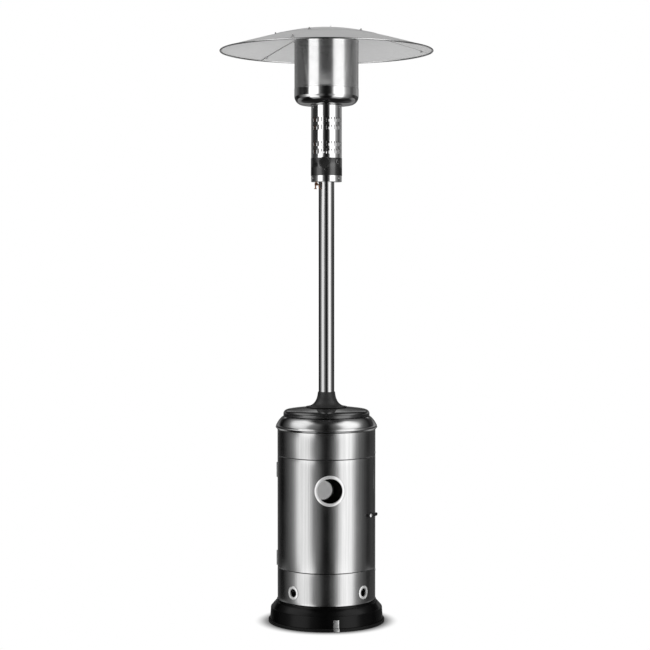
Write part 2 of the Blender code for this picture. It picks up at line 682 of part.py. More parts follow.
build_base()
build_housing()
build_top()
build_door()
build_post()
build_column()
build_controls()
build_burner()
build_brass_union()
build_emitter()
build_reflector()
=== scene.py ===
"""Looks of the patio heater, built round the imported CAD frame.

Metres, +Z up, the door faces -Y. Azimuth is in degrees from -Y, positive towards +X."""

import json
import math

import bmesh
import bpy
from mathutils import Matrix, Vector

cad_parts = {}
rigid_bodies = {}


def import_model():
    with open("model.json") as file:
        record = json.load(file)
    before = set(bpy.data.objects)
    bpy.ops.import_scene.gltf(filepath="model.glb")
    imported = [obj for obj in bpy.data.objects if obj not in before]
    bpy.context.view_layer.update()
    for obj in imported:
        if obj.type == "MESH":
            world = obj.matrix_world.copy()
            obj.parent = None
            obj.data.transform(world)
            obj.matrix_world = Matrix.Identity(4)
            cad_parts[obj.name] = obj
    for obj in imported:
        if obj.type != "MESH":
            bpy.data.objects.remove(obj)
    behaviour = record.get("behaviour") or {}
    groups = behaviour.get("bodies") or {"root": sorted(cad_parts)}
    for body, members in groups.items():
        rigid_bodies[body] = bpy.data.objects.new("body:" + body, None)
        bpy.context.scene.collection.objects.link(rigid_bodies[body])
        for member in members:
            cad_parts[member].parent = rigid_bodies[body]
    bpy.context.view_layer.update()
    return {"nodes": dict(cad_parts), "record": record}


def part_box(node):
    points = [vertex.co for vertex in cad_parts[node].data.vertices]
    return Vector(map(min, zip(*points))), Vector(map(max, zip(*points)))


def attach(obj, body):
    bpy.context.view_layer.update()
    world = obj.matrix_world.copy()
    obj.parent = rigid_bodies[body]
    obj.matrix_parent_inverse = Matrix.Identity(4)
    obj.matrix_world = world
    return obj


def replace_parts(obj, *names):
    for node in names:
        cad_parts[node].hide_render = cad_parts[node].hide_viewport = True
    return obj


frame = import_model()
NODES = frame["nodes"]
SLOT_OF = {row["node"]: row["material_slot"] for row in frame["record"]["subparts"]}
BODY_OF = {node: body for body, nodes in frame["record"]["behaviour"]["bodies"].items() for node in nodes}
MM = 0.001

# ---- Sizes taken from the frame ----


def half_width(node):
    low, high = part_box(node)
    return (high.x - low.x) / 2


def levels(node):
    low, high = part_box(node)
    return low.z, high.z


def mid_height(node):
    return sum(levels(node)) / 2


HOUSING_R = half_width("lower_ring")
SHEET = 1.0 * MM
LIP = 12.5 * MM
LOWER_Z, UPPER_Z, DOOR_Z = levels("lower_ring"), levels("upper_ring"), levels("door")
BASE_R, BASE_WALL_R = half_width("foot_ring"), half_width("base_shell")
BASE_TOP = levels("base_shell")[1]
POST_R, POST_Z = half_width("post"), levels("post")
COLUMN_R, COLUMN_Z = half_width("burner_column"), levels("burner_column")
PANEL_R, PANEL_Z = half_width("control_panel"), levels("control_panel")
EMITTER_R = half_width("emitter_bowl")
BOWL_Z, SCREEN_Z = levels("emitter_bowl"), levels("emitter_screen")
DISH_R = 0.4065
DISH_RIM_Z = levels("reflector_petal_1")[0] + 3.5 * MM
CENTRE_R = half_width("reflector_centre")
KNOB_LOW, KNOB_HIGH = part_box("control_knob")
KNOB_AT = (KNOB_LOW + KNOB_HIGH) / 2

DOOR_AZIMUTH = (-89.3, 72.4)
BACK_AZIMUTH = (73.4, 268.5)
# Round openings: azimuth, height, radius.
DOOR_VENT = (4.0, mid_height("door_vent_rim"), 48.5 * MM)
REAR_VENT = (-175.0, mid_height("rear_vent_rim"), 41.0 * MM)
LOWER_VENT_AZIMUTHS = (-42.0, 48.0, 138.0, -132.0)
LOWER_VENTS = [(azimuth, mid_height("lower_vent_rim_1"), 18.0 * MM) for azimuth in LOWER_VENT_AZIMUTHS]
# Azimuth and height.
LATCH, IGNITER = (58.3, 0.4210), (44.0, 1.7600)
LEVER_R = 0.1955
STUD_CIRCLE, STUD_AZIMUTHS = 0.0600, (15.0, 135.0, 255.0)
PETAL_SEAMS = (-19.0, 101.0, 220.0, 341.0)
PETAL_JOINTS = PETAL_SEAMS[:3]


def polar(radius, azimuth, z):
    """The place at a height, on a circle round the object's axis."""
    angle = math.radians(azimuth)
    return Vector((radius * math.sin(angle), -radius * math.cos(angle), z))


# ---- Materials ----


class Graph:
    """The node tree of a material or a world, with short ways to add and join nodes."""

    def __init__(self, owner):
        owner.use_nodes = True
        self.tree = owner.node_tree
        self.coords = self.add("ShaderNodeTexCoord")

    def add(self, kind, **settings):
        node = self.tree.nodes.new(kind)
        for key, value in settings.items():
            setattr(node, key, value)
        return node

    def feed(self, socket, value):
        """Set a socket to a number or a colour of three numbers, or join a node's output to it."""
        if isinstance(value, (int, float)):
            socket.default_value = value
        elif isinstance(value, tuple):
            socket.default_value = (*value, 1.0)
        else:
            self.tree.links.new(value, socket)

    def make(self, kind, output, feeds, **settings):
        """Add a node, feed its inputs by name or number, and give one of its outputs."""
        node = self.add(kind, **settings)
        for key, value in feeds.items():
            self.feed(node.inputs[key], value)
        return node.outputs[output]

    def noise(self, stretch, scale, detail, roughness=0.55):
        """Noise over the object's own coordinates, stretched by a factor along each axis."""
        mapping = self.add("ShaderNodeMapping")
        mapping.inputs["Scale"].default_value = stretch
        self.feed(mapping.inputs["Vector"], self.coords.outputs["Object"])
        place = mapping.outputs["Vector"]
        feeds = {"Vector": place, "Scale": scale, "Detail": detail, "Roughness": roughness}
        return self.make("ShaderNodeTexNoise", "Fac", feeds)

    def spread(self, value, low, high, start=0.25, end=0.75, **settings):
        """Map a value from start..end to low..high."""
        feeds = {"Value": value, "From Min": start, "From Max": end, "To Min": low, "To Max": high}
        return self.make("ShaderNodeMapRange", "Result", feeds, **settings)

    def ramp(self, value, start, end, low, high):
        """The same, easing in and out at both ends."""
        return self.spread(value, low, high, start, end, interpolation_type="SMOOTHSTEP")

    def maths(self, operation, *values):
        return self.make("ShaderNodeMath", 0, dict(enumerate(values)), operation=operation)

    def blend(self, a, b, share_of_b, kind="FLOAT"):
        """Blend two numbers, or two colours with kind RGBA."""
        return self.make("ShaderNodeMix", "Result", {"A": a, "B": b, "Factor": share_of_b}, data_type=kind)

    def bump(self, height, strength, distance):
        feeds = {"Height": height, "Strength": strength, "Distance": distance}
        return self.make("ShaderNodeBump", "Normal", feeds)


SHADER_SOCKETS = {"colour": "Base Color", "metallic": "Metallic", "roughness": "Roughness",
                  "normal": "Normal", "specular": "Specular IOR Level", "coat": "Coat Weight",
                  "coat_roughness": "Coat Roughness"}


class Surface(Graph):
    """A new material with its principled shader."""

    def __init__(self, name):
        self.material = bpy.data.materials.new(name)
        super().__init__(self.material)
        self.shader = self.tree.nodes["Principled BSDF"]

    def look(self, **values):
        """Feed the shader's sockets, by the short names in SHADER_SOCKETS."""
        for key, value in values.items():
            self.feed(self.shader.inputs[SHADER_SOCKETS[key]], value)


def grey(value):
    return (value, value, value)


EVEN = (1.0, 1.0, 1.0)


def metal(name, low, high, roughness, grain, grain_depth, blotch=0.04, metallic=1.0, darker_below=None):
    """Metal with a brushed grain, cloudy polish marks and a slightly uneven tone between two colours.

    The last argument gives the heights between which it turns darker towards the bottom, the darker one
    first."""
    g = Surface(name)
    g.look(metallic=metallic)
    clouds = g.noise(EVEN, 9.0, 3.0)
    streaks = g.noise(grain, 1.0, 4.0, 0.7)
    bands = g.noise(tuple(size * 0.22 for size in grain), 1.0, 2.0)
    tone = g.maths("ADD", g.spread(streaks, -0.1, 0.6), g.spread(bands, -0.1, 0.6))
    colour = g.blend(low, high, tone, "RGBA")
    if darker_below:
        # Darker towards the bottom, between the two given heights.
        height = g.make("ShaderNodeSeparateXYZ", "Z", {"Vector": g.coords.outputs["Object"]})
        colour = g.blend(colour, grey(0.10), g.spread(height, 0.75, 0.0, *darker_below), "RGBA")
    rough = g.spread(streaks, roughness * 0.85, roughness * 1.15)
    g.look(colour=colour, roughness=g.maths("ADD", rough, g.spread(clouds, -blotch, blotch)),
           normal=g.bump(streaks, grain_depth, 0.2 * MM))
    return g.material


def paint(name, low, high, roughness, peel_scale, peel_strength, scuff=0.06, specular=0.5, coat=0.0):
    """Painted or moulded surface with a fine texture and faint scuffs."""
    g = Surface(name)
    g.look(specular=specular, coat=coat, coat_roughness=0.08)
    clouds = g.noise(EVEN, 14.0, 5.0)
    g.look(colour=g.blend(grey(low), grey(high), g.spread(clouds, 0.0, 1.0), "RGBA"),
           roughness=g.spread(clouds, roughness - scuff / 2, roughness + scuff))
    g.look(normal=g.bump(g.noise(EVEN, peel_scale, 2.0), peel_strength, 0.3 * MM))
    return g.material


UPRIGHT_GRAIN = (900.0, 900.0, 9.0)
ROUND_GRAIN = (12.0, 12.0, 1400.0)
EVEN_GRAIN = (260.0, 260.0, 260.0)

BRUSHED = metal("brushed_stainless", grey(0.52), grey(0.64), 0.19, UPRIGHT_GRAIN, 0.05)
DRAWN = metal("drawn_stainless", grey(0.52), grey(0.62), 0.13, UPRIGHT_GRAIN, 0.03)
SATIN = metal("satin_stainless", grey(0.58), grey(0.67), 0.13, ROUND_GRAIN, 0.04)
POLISHED = metal("polished_stainless", grey(0.76), grey(0.82), 0.085, ROUND_GRAIN, 0.012, 0.02)
# The bowl's colour turns darker towards the bottom of its bend.
BOWL_METAL = metal("bowl_stainless", grey(0.76), grey(0.82), 0.085, ROUND_GRAIN, 0.012, 0.02,
                   darker_below=(1.991, 2.004))
SCREEN = metal("perforated_stainless", grey(0.66), grey(0.76), 0.11, EVEN_GRAIN, 0.05, metallic=0.88)
DISH_METAL = metal("reflector_aluminium", grey(0.74), grey(0.80), 0.36, EVEN_GRAIN, 0.03, 0.05, metallic=0.2)
RIM_METAL = metal("pressed_rim", grey(0.88), grey(0.93), 0.20, EVEN_GRAIN, 0.03, 0.03, metallic=0.45)
ZINC = metal("zinc_plate", grey(0.40), grey(0.52), 0.38, EVEN_GRAIN, 0.08)
BRIGHT = metal("bright_fastener", grey(0.66), grey(0.76), 0.18, EVEN_GRAIN, 0.03)
BRASS = metal("turned_brass", (0.42, 0.28, 0.12), (0.58, 0.41, 0.19), 0.26, EVEN_GRAIN, 0.05)
COPPER = metal("aged_copper", (0.24, 0.12, 0.07), (0.46, 0.24, 0.15), 0.30, EVEN_GRAIN, 0.05)
CAST = metal("painted_casting", grey(0.045), grey(0.08), 0.62, EVEN_GRAIN, 0.5)
ENAMEL = paint("black_enamel", 0.0014, 0.0026, 0.15, 420.0, 0.05, specular=0.18)
CAP_ENAMEL = paint("cap_enamel", 0.008, 0.014, 0.16, 420.0, 0.04, specular=1.0, coat=1.0)
FLARE_PLASTIC = paint("flare_moulding", 0.022, 0.032, 0.42, 700.0, 0.10, specular=0.5)
PANEL_PAINT = paint("panel_enamel", 0.010, 0.015, 0.13, 600.0, 0.05, specular=0.9, coat=0.6)
PLASTIC = paint("black_moulding", 0.012, 0.020, 0.34, 900.0, 0.16)
RUBBER = paint("black_rubber", 0.004, 0.008, 0.46, 500.0, 0.2, specular=0.2)
MARKING = paint("pale_marking", 0.42, 0.50, 0.50, 900.0, 0.05)
CERAMIC = paint("white_ceramic", 0.70, 0.76, 0.28, 300.0, 0.04)

# ---- Mesh helpers ----


def arc(centre, radius, start, end, count):
    """Points on an arc in the profile plane, angles in degrees from the radial direction."""
    points = []
    for i in range(count + 1):
        angle = math.radians(start + (end - start) * i / count)
        points.append((centre[0] + radius * math.cos(angle), centre[1] + radius * math.sin(angle)))
    return points


def bezier(p0, p1, p2, p3, count):
    points = []
    for i in range(count + 1):
        t = i / count
        weights = ((1 - t) ** 3, 3 * t * (1 - t) ** 2, 3 * t * t * (1 - t), t ** 3)
        points.append(tuple(sum(w * p[axis] for w, p in zip(weights, (p0, p1, p2, p3))) for axis in (0, 1)))
    return points


def smoothed(mesh, sharp=32.0):
    """Shade smooth, with edges over an angle left sharp."""
    mesh.shade_smooth()
    mesh.set_sharp_from_angle(angle=math.radians(sharp))
    return mesh


def mesh_from(shape):
    mesh = bpy.data.meshes.new("mesh")
    shape.normal_update()
    shape.to_mesh(mesh)
    shape.free()
    return smoothed(mesh)


def merged(meshes):
    """One mesh of several separate shells."""
    shape = bmesh.new()
    for mesh in meshes:
        shape.from_mesh(mesh)
    return mesh_from(shape)


def linked(name, data):
    ob = bpy.data.objects.new(name, data)
    bpy.context.scene.collection.objects.link(ob)
    return ob


def piece(name, mesh, material, body="heater"):
    """Link a finished mesh as a piece that rides on a body."""
    mesh.name = name
    mesh.materials.append(material)
    ob = linked(name, mesh)
    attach(ob, body)
    return ob


def fine(node, mesh, material):
    """Link a finished mesh that stands for a CAD node, on the node's body and with the given material."""
    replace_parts(piece(node + "_fine", mesh, material, BODY_OF[node]), node)


def baked(ob):
    """The mesh of an object with its modifiers applied. The object is removed."""
    mesh = bpy.data.meshes.new_from_object(ob.evaluated_get(bpy.context.evaluated_depsgraph_get()))
    bpy.data.objects.remove(ob)
    return mesh


def evaluated(mesh, modifiers):
    """The mesh with modifiers applied, given as (kind, settings) pairs."""
    ob = linked("workpiece", mesh)
    for kind, settings in modifiers:
        modifier = ob.modifiers.new(kind.lower(), kind)
        for key, value in settings.items():
            setattr(modifier, key, value)
    return smoothed(baked(ob))


def thicken(mesh, gauge):
    return evaluated(mesh, [("SOLIDIFY", {"thickness": gauge, "offset": -1.0, "use_even_offset": True})])


TINY = 1e-7


def lathe(profile, steps, azimuths=None, closed=False):
    """Turn a profile of (radius, z) points. An open profile runs down the outer side."""
    whole = azimuths is None
    start, end = (0.0, 360.0) if whole else azimuths
    columns = steps if whole else steps + 1
    shape = bmesh.new()
    rings = []
    for r, z in profile:
        if r < TINY:
            tip = shape.verts.new((0.0, 0.0, z))
            rings.append([tip] * columns)
        else:
            turns = [start + (end - start) * i / steps for i in range(columns)]
            rings.append([shape.verts.new(polar(r, turn, z)) for turn in turns])
    pairs = list(zip(rings, rings[1:]))
    if closed:
        pairs.append((rings[-1], rings[0]))
    for upper, lower in pairs:
        for i in range(steps):
            j = (i + 1) % columns
            corners = [upper[i], lower[i], lower[j], upper[j]]
            ring = [v for k, v in enumerate(corners) if v not in corners[:k]]
            if len(ring) > 2:
                shape.faces.new(ring)
    return shape


def turned(profile, steps, closed=False):
    return mesh_from(lathe(profile, steps, closed=closed))


def sheet(profile, gauge=SHEET, steps=160, azimuths=None):
    """A turned sheet, thickened inwards."""
    return thicken(mesh_from(lathe(profile, steps, azimuths)), gauge)


def in_mm(*points):
    """Points given in millimetres, in metres."""
    return [tuple(value * MM for value in point) for point in points]


def rod_profile(radius, top, bottom):
    """Profile of a plain rod, in millimetres."""
    return in_mm((0.0, top), (radius, top), (radius, bottom), (0.0, bottom))


def folded_wall(z_low, z_high):
    """Profile of a wall with rounded flanges turned inwards at its top and bottom, top first."""
    bend = 1.6 * MM
    top = arc((HOUSING_R - bend, z_high - bend), bend, 90.0, 0.0, 4)
    bottom = arc((HOUSING_R - bend, z_low + bend), bend, 0.0, -90.0, 4)
    return [(HOUSING_R - LIP, z_high)] + top + bottom + [(HOUSING_R - LIP, z_low)]


HOLE_POINTS = 64
BEND_STEP = 1.5  # degrees


def holed_sheet(profile, azimuths, holes):
    """A sheet rolled from a flat blank: the blank is cut with its round holes, then bent to the profile.

    holes lists (azimuth, z, radius) on the profile's upright stretch."""
    lengths = [0.0]
    stretches = list(zip(profile, profile[1:]))
    for a, b in stretches:
        lengths.append(lengths[-1] + math.dist(a, b))
    radius = max(r for r, _ in profile)
    upright = next(i for i, (a, b) in enumerate(stretches) if a[0] == b[0] == radius)
    start, end = (math.radians(a) * radius for a in azimuths)

    def blank_height(z):
        return lengths[upright] + profile[upright][1] - z

    shape = bmesh.new()
    outlines = [[(start, 0.0), (end, 0.0), (end, lengths[-1]), (start, lengths[-1])]]
    for azimuth, z, hole in holes:
        centre, height = math.radians(azimuth) * radius, blank_height(z)
        turns = [math.tau * i / HOLE_POINTS for i in range(HOLE_POINTS)]
        outlines.append([(centre + hole * math.cos(turn), height + hole * math.sin(turn)) for turn in turns])
    edges = []
    for outline in outlines:
        verts = [shape.verts.new((x, y, 0.0)) for x, y in outline]
        edges += [shape.edges.new((verts[i], verts[(i + 1) % len(verts)])) for i in range(len(verts))]
    bmesh.ops.triangle_fill(shape, use_beauty=True, edges=edges)

    def cut(place, normal):
        everything = shape.verts[:] + shape.edges[:] + shape.faces[:]
        bmesh.ops.bisect_plane(shape, geom=everything, dist=TINY, plane_co=place, plane_no=normal)

    count = round((azimuths[1] - azimuths[0]) / BEND_STEP)
    for i in range(1, count):
        cut((start + (end - start) * i / count, 0.0, 0.0), (1.0, 0.0, 0.0))
    for length in lengths[1:-1]:
        cut((0.0, length, 0.0), (0.0, 1.0, 0.0))
    for vert in shape.verts:
        angle, length = math.degrees(vert.co.x / radius), vert.co.y
        i = next(k for k in range(len(stretches)) if length <= lengths[k + 1] + TINY)
        share = min(1.0, (length - lengths[i]) / (lengths[i + 1] - lengths[i]))
        (r0, z0), (r1, z1) = stretches[i]
        vert.co = polar(r0 + (r1 - r0) * share, angle, z0 + (z1 - z0) * share)
    bmesh.ops.remove_doubles(shape, verts=shape.verts[:], dist=1e-6)
    shape.normal_update()
    face_outwards(shape, max(shape.faces, key=lambda face: face.calc_area()))
    return thicken(mesh_from(shape), SHEET)


def face_outwards(shape, face):
    """Turn the whole shape inside out if one of its faces looks towards the object's axis."""
    middle = face.calc_center_median()
    if face.normal.dot(Vector((middle.x, middle.y, 0.0))) < 0:
        bmesh.ops.reverse_faces(shape, faces=shape.faces[:])


def shift(*place):
    return Matrix.Translation(place)


def spin(degrees, axis):
    return Matrix.Rotation(math.radians(degrees), 4, axis)


def forward(x, y, z):
    """Matrix that puts local +Z towards the front and local +Y up."""
    return shift(x, y, z) @ spin(90.0, "X")


def outward(radius, azimuth, z):
    """Matrix that puts local +Z outwards and local +Y up at a place on a cylinder."""
    turn = spin(azimuth, "Z") @ spin(90.0, "X")
    return shift(*polar(radius, azimuth, z)) @ turn


def moved(mesh, matrix):
    mesh.transform(matrix)
    return mesh


def bar_mesh(width, height, depth):
    """A straight bar round the local origin."""
    shape = bmesh.new()
    bmesh.ops.create_cube(shape, size=1.0)
    bmesh.ops.scale(shape, vec=(width, height, depth), verts=shape.verts)
    return mesh_from(shape)


def bevelled(mesh, width, segments=3):
    return evaluated(mesh, [("BEVEL", {"width": width, "segments": segments, "limit_method": "ANGLE",
                                       "angle_limit": math.radians(40.0)})])


def carved(mesh, cutters, operation="DIFFERENCE"):
    """The mesh after boolean steps with other meshes."""
    others = [linked("cutter", cutter) for cutter in cutters]
    steps = [("BOOLEAN", {"operation": operation, "solver": "EXACT", "object": ob}) for ob in others]
    made = evaluated(mesh, steps)
    for ob in others:
        bpy.data.objects.remove(ob)
    return made


def prism(outline, low, high):
    """A flat outline raised between two heights."""
    shape = bmesh.new()
    face = shape.faces.new([shape.verts.new((x, y, low)) for x, y in outline])
    grown = bmesh.ops.extrude_face_region(shape, geom=[face])
    top = [item for item in grown["geom"] if isinstance(item, bmesh.types.BMVert)]
    bmesh.ops.translate(shape, vec=(0.0, 0.0, high - low), verts=top)
    bmesh.ops.recalc_face_normals(shape, faces=shape.faces)
    return mesh_from(shape)


def tube(points, radius):
    """A round tube along a smooth route."""
    curve = bpy.data.curves.new("route", "CURVE")
    curve.dimensions = "3D"
    curve.bevel_depth = radius
    curve.bevel_resolution = 4
    curve.resolution_u = 8
    curve.use_fill_caps = True
    spline = curve.splines.new("NURBS")
    spline.points.add(len(points) - 1)
    spline.order_u = 4
    spline.use_endpoint_u = True
    for point, place in zip(spline.points, points):
        point.co = (*place, 1.0)
    mesh = smoothed(baked(linked("route", curve)), 40.0)
    mesh.materials.clear()
    return mesh


# ---- Fasteners ----


def pan_screw_mesh(radius, height):
    """A pan-head screw with a cross recess, its head on local +Z."""
    dome = [(0.0, height)]
    for angle in (15.0, 30.0, 45.0, 60.0, 75.0):
        turn = math.radians(angle)
        dome.append((radius * math.sin(turn), height * math.cos(turn) ** 0.7))
    dome += [(radius, 0.0), (0.0, 0.0)]
    long, short = radius * 1.1, radius * 0.26
    slots = [moved(bar_mesh(width, across, height), shift(0.0, 0.0, height))
             for width, across in ((long, short), (short, long))]
    return carved(turned(dome, 32), slots)


def hex_outline(across):
    corner = across / 2 / math.cos(math.radians(30.0))
    turns = [math.radians(60.0 * i) for i in range(6)]
    return [(corner * math.cos(turn), corner * math.sin(turn)) for turn in turns]


def hex_bolt_mesh(across, height):
    """A hexagon head on a washer, on local +Z."""
    head = bevelled(prism(hex_outline(across), 0.8 * MM, height), 0.5 * MM, 2)
    rim = [(0.0, 1.0 * MM), (across * 0.82, 1.0 * MM), (across * 0.86, 0.6 * MM), (across * 0.86, 0.0),
           (0.0, 0.0)]
    return merged([head, turned(rim, 32)])


def scatter(name, mesh, matrices, material):
    """Copies of one small part on the heater's body, each its own piece."""
    mesh.name = name
    mesh.materials.append(material)
    for number, matrix in enumerate(matrices, 1):
        ob = linked("%s_%02d" % (name, number), mesh)
        ob.matrix_world = matrix
        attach(ob, "heater")


# ---- Base ----


def make_base():
    shell = [(0.0, BASE_TOP), (0.1893, BASE_TOP)]
    shell += arc((0.1893, BASE_TOP - 1.4 * MM), 1.4 * MM, 90.0, 0.0, 4)
    shell += [(0.1907, 0.0822)]
    shell += arc((0.1925, 0.0812), 1.7 * MM, 180.0, 236.0, 4)
    shell += bezier((0.1935, 0.0790), (0.2010, 0.0725), (0.2075, 0.0640), (0.2110, 0.0592), 8)
    shell += arc((0.2072, 0.0540), 6.8 * MM, 46.0, 4.0, 8)
    shell += [(BASE_WALL_R - 1.2 * MM, 0.0300), (BASE_WALL_R, 0.0125), (BASE_WALL_R, 0.0040)]
    fine("base_shell", sheet(shell, 2.0 * MM, 192), ENAMEL)

    ring = [(BASE_WALL_R + 0.6 * MM, 0.0120)]
    ring += arc((BASE_R - 3.2 * MM, 0.0088), 3.2 * MM, 90.0, 0.0, 6)
    ring += arc((BASE_R - 1.2 * MM, 0.0012), 1.2 * MM, 0.0, -90.0, 4)
    ring += [(0.2080, 0.0), (0.2080, 0.0035), (BASE_WALL_R + 0.6 * MM, 0.0035)]
    fine("foot_ring", turned(ring, 192, closed=True), RUBBER)

    # A metal strip bent down over the foot ring, held by two rivets.
    wall, rim, top = BASE_WALL_R + 1.4 * MM, BASE_R + 1.2 * MM, levels("base_badge")[1]
    strip = [(wall - 0.6 * MM, top), (wall, 0.0150)]
    strip += arc((wall + 1.2 * MM, 0.0148), 1.2 * MM, 180.0, 270.0, 4)
    strip += arc((rim - 1.6 * MM, 0.0120), 1.6 * MM, 90.0, 0.0, 5) + [(rim, 0.0010)]
    badge = sheet(strip, 0.8 * MM, 12, (6.5, 12.3))
    fine("base_badge", bevelled(badge, 0.25 * MM, 2), BRIGHT)
    dome = in_mm((0.0, 0.9), (0.8, 0.75), (1.4, 0.3), (1.5, 0.0), (0.0, 0.0))
    rivets = [outward(wall - 0.2 * MM, 9.4, z) for z in (0.0395, 0.0190)]
    scatter("badge_rivet", turned(dome, 20), rivets, ZINC)


# ---- Housing ----


def vent_rim(node, vent, flange):
    """A bright pressed rim: rolled lip, raised bead and a neck through the wall, curved to the wall."""
    azimuth, z, radius = vent
    neck = radius - 0.6 * MM
    profile = [(neck - 1.2 * MM, -4.5 * MM), (neck - 1.2 * MM, 1.4 * MM)]
    profile += arc((neck + 0.4 * MM, 1.4 * MM), 1.6 * MM, 180.0, 90.0, 5)
    profile += bezier((neck + 1.0 * MM, 3.0 * MM), (radius + flange * 0.4, 3.2 * MM),
                      (radius + flange * 0.7, 2.4 * MM), (radius + flange - 0.8 * MM, 1.7 * MM), 6)
    profile += [(radius + flange, 1.0 * MM), (radius + flange, 0.5 * MM), (neck, 0.5 * MM), (neck, -4.5 * MM)]
    shape = lathe(profile, 72, closed=True)
    for vertex in shape.verts:
        vertex.co.z -= HOUSING_R - math.sqrt(HOUSING_R ** 2 - vertex.co.x ** 2)
    bmesh.ops.recalc_face_normals(shape, faces=shape.faces)
    fine(node, moved(mesh_from(shape), outward(HOUSING_R, azimuth, z)), RIM_METAL)


def perforated_disc(radius, pitch, hole):
    """Flat disc of hexagonal cells, each with a round hole."""
    shape = bmesh.new()
    count = int(radius / pitch) + 2
    cell = [pitch / 2, pitch / math.sqrt(3.0)] * 6
    turns = [math.radians(30.0 * step) for step in range(len(cell))]
    places = [((column + 0.5 * (row % 2)) * pitch, row * pitch * math.sqrt(0.75))
              for row in range(-count, count + 1) for column in range(-count, count + 1)]
    for x, y in places:
        if math.hypot(x, y) > radius:
            continue
        outer, inner = [[shape.verts.new((x + reach * math.cos(turn), y + reach * math.sin(turn), 0.0))
                         for reach, turn in zip(reaches, turns)] for reaches in (cell, [hole] * len(cell))]
        for i in range(len(cell)):
            shape.faces.new([outer[i], outer[i - 11], inner[i - 11], inner[i]])
    bmesh.ops.remove_doubles(shape, verts=shape.verts, dist=0.02 * MM)
    return shape


def make_rear_guard():
    """Perforated guard plate with a rolled frame, on the inside of the rear vent."""
    azimuth, z, radius = REAR_VENT
    place = outward(HOUSING_R - 9.6 * MM, azimuth, z)
    disc = perforated_disc(radius + 0.6 * MM, 2.6 * MM, 0.80 * MM)
    plate = thicken(mesh_from(disc), 0.7 * MM)
    piece("rear_guard_plate", moved(plate, place), ZINC)
    low, high = radius - 2.0 * MM, radius + 4.0 * MM
    ring = [(low, 0.3 * MM), (low + 0.6 * MM, 0.9 * MM), (high - 0.6 * MM, 0.9 * MM), (high, 0.3 * MM),
            (high, -1.4 * MM), (low, -1.4 * MM)]
    guard_frame = moved(turned(ring, 72, closed=True), place)
    piece("rear_guard_frame", guard_frame, ZINC)


def make_housing():
    fine("lower_ring", holed_sheet(folded_wall(*LOWER_Z), (-180.0, 180.0), LOWER_VENTS), BRUSHED)
    for number, vent in enumerate(LOWER_VENTS, 1):
        vent_rim("lower_vent_rim_%d" % number, vent, 7.5 * MM)

    rear = (REAR_VENT[0] + 360.0, *REAR_VENT[1:])
    fine("back_panel", holed_sheet(folded_wall(*DOOR_Z), BACK_AZIMUTH, [rear]), BRUSHED)
    vent_rim("rear_vent_rim", REAR_VENT, 9.5 * MM)
    make_rear_guard()

    fine("upper_ring", sheet(folded_wall(*UPPER_Z), steps=240), BRUSHED)

    door_holes = [DOOR_VENT, (*LATCH, 4.2 * MM)]
    fine("door", holed_sheet(folded_wall(*DOOR_Z), DOOR_AZIMUTH, door_holes), BRUSHED)
    vent_rim("door_vent_rim", DOOR_VENT, 9.5 * MM)

    screw = pan_screw_mesh(3.6 * MM, 1.9 * MM)
    spots = [(a, z) for a in (84.0, 130.0, 180.0, 222.0, 262.0) for z in (0.2000, 0.6520)]
    scatter("wall_screw", screw, [outward(HOUSING_R, a, z) for a, z in spots], BRIGHT)


def make_top():
    shoulder_top, bead = levels("shoulder_ring")[1], half_width("shoulder_ring")
    profile = [(0.1500, shoulder_top), (0.1640, shoulder_top)]
    profile += bezier((0.1660, 0.7903), (0.1760, 0.7850), (0.1880, 0.7690), (0.1936, 0.7555), 12)
    profile += arc((bead - 3.6 * MM, 0.7490), 3.6 * MM, 48.0, -48.0, 8)
    profile += [(0.1908, 0.7445), (0.1900, 0.7420)]
    fine("shoulder_ring", sheet(profile, steps=200), SATIN)

    cap_r, (cap_low, cap_top) = half_width("cap_top"), levels("cap_top")
    cap = [(0.0365, cap_top), (0.0750, cap_top - 0.4 * MM)]
    cap += bezier((0.0800, cap_top - 0.7 * MM), (0.1050, 0.8218), (0.1280, 0.8184), (0.1440, 0.8163), 8)
    cap += bezier((0.1500, 0.8154), (0.1590, 0.8136), (0.1636, 0.8092), (cap_r - 0.4 * MM, 0.8030), 10)
    cap += [(cap_r, 0.7990)] + arc((cap_r - 1.4 * MM, cap_low + 1.5 * MM), 1.4 * MM, 0.0, -80.0, 5)
    fine("cap_top", sheet(cap, steps=200), CAP_ENAMEL)

    (flare_low, flare_top), flare_r = levels("post_flare"), half_width("post_flare")
    lip_z = flare_low + SHEET
    flare = [(POST_R + 0.8 * MM, flare_top - 0.2 * MM), (POST_R + 1.6 * MM, flare_top)]
    flare += bezier((0.0330, flare_top - 1.0 * MM), (0.0360, 0.8450), (0.0520, 0.8290),
                    (flare_r - 1.5 * MM, lip_z + 0.2 * MM), 24)
    flare += [(flare_r, lip_z)]
    fine("post_flare", sheet(flare, steps=128), FLARE_PLASTIC)


# ---- Latch ----


def tapered_bar(length, start_radius, end_radius):
    points = []
    for centre, radius, start in ((0.0, start_radius, 90.0), (length, end_radius, -90.0)):
        points += [(centre + x, y) for x, y in arc((0.0, 0.0), radius, start, start + 180.0, 12)]
    return points


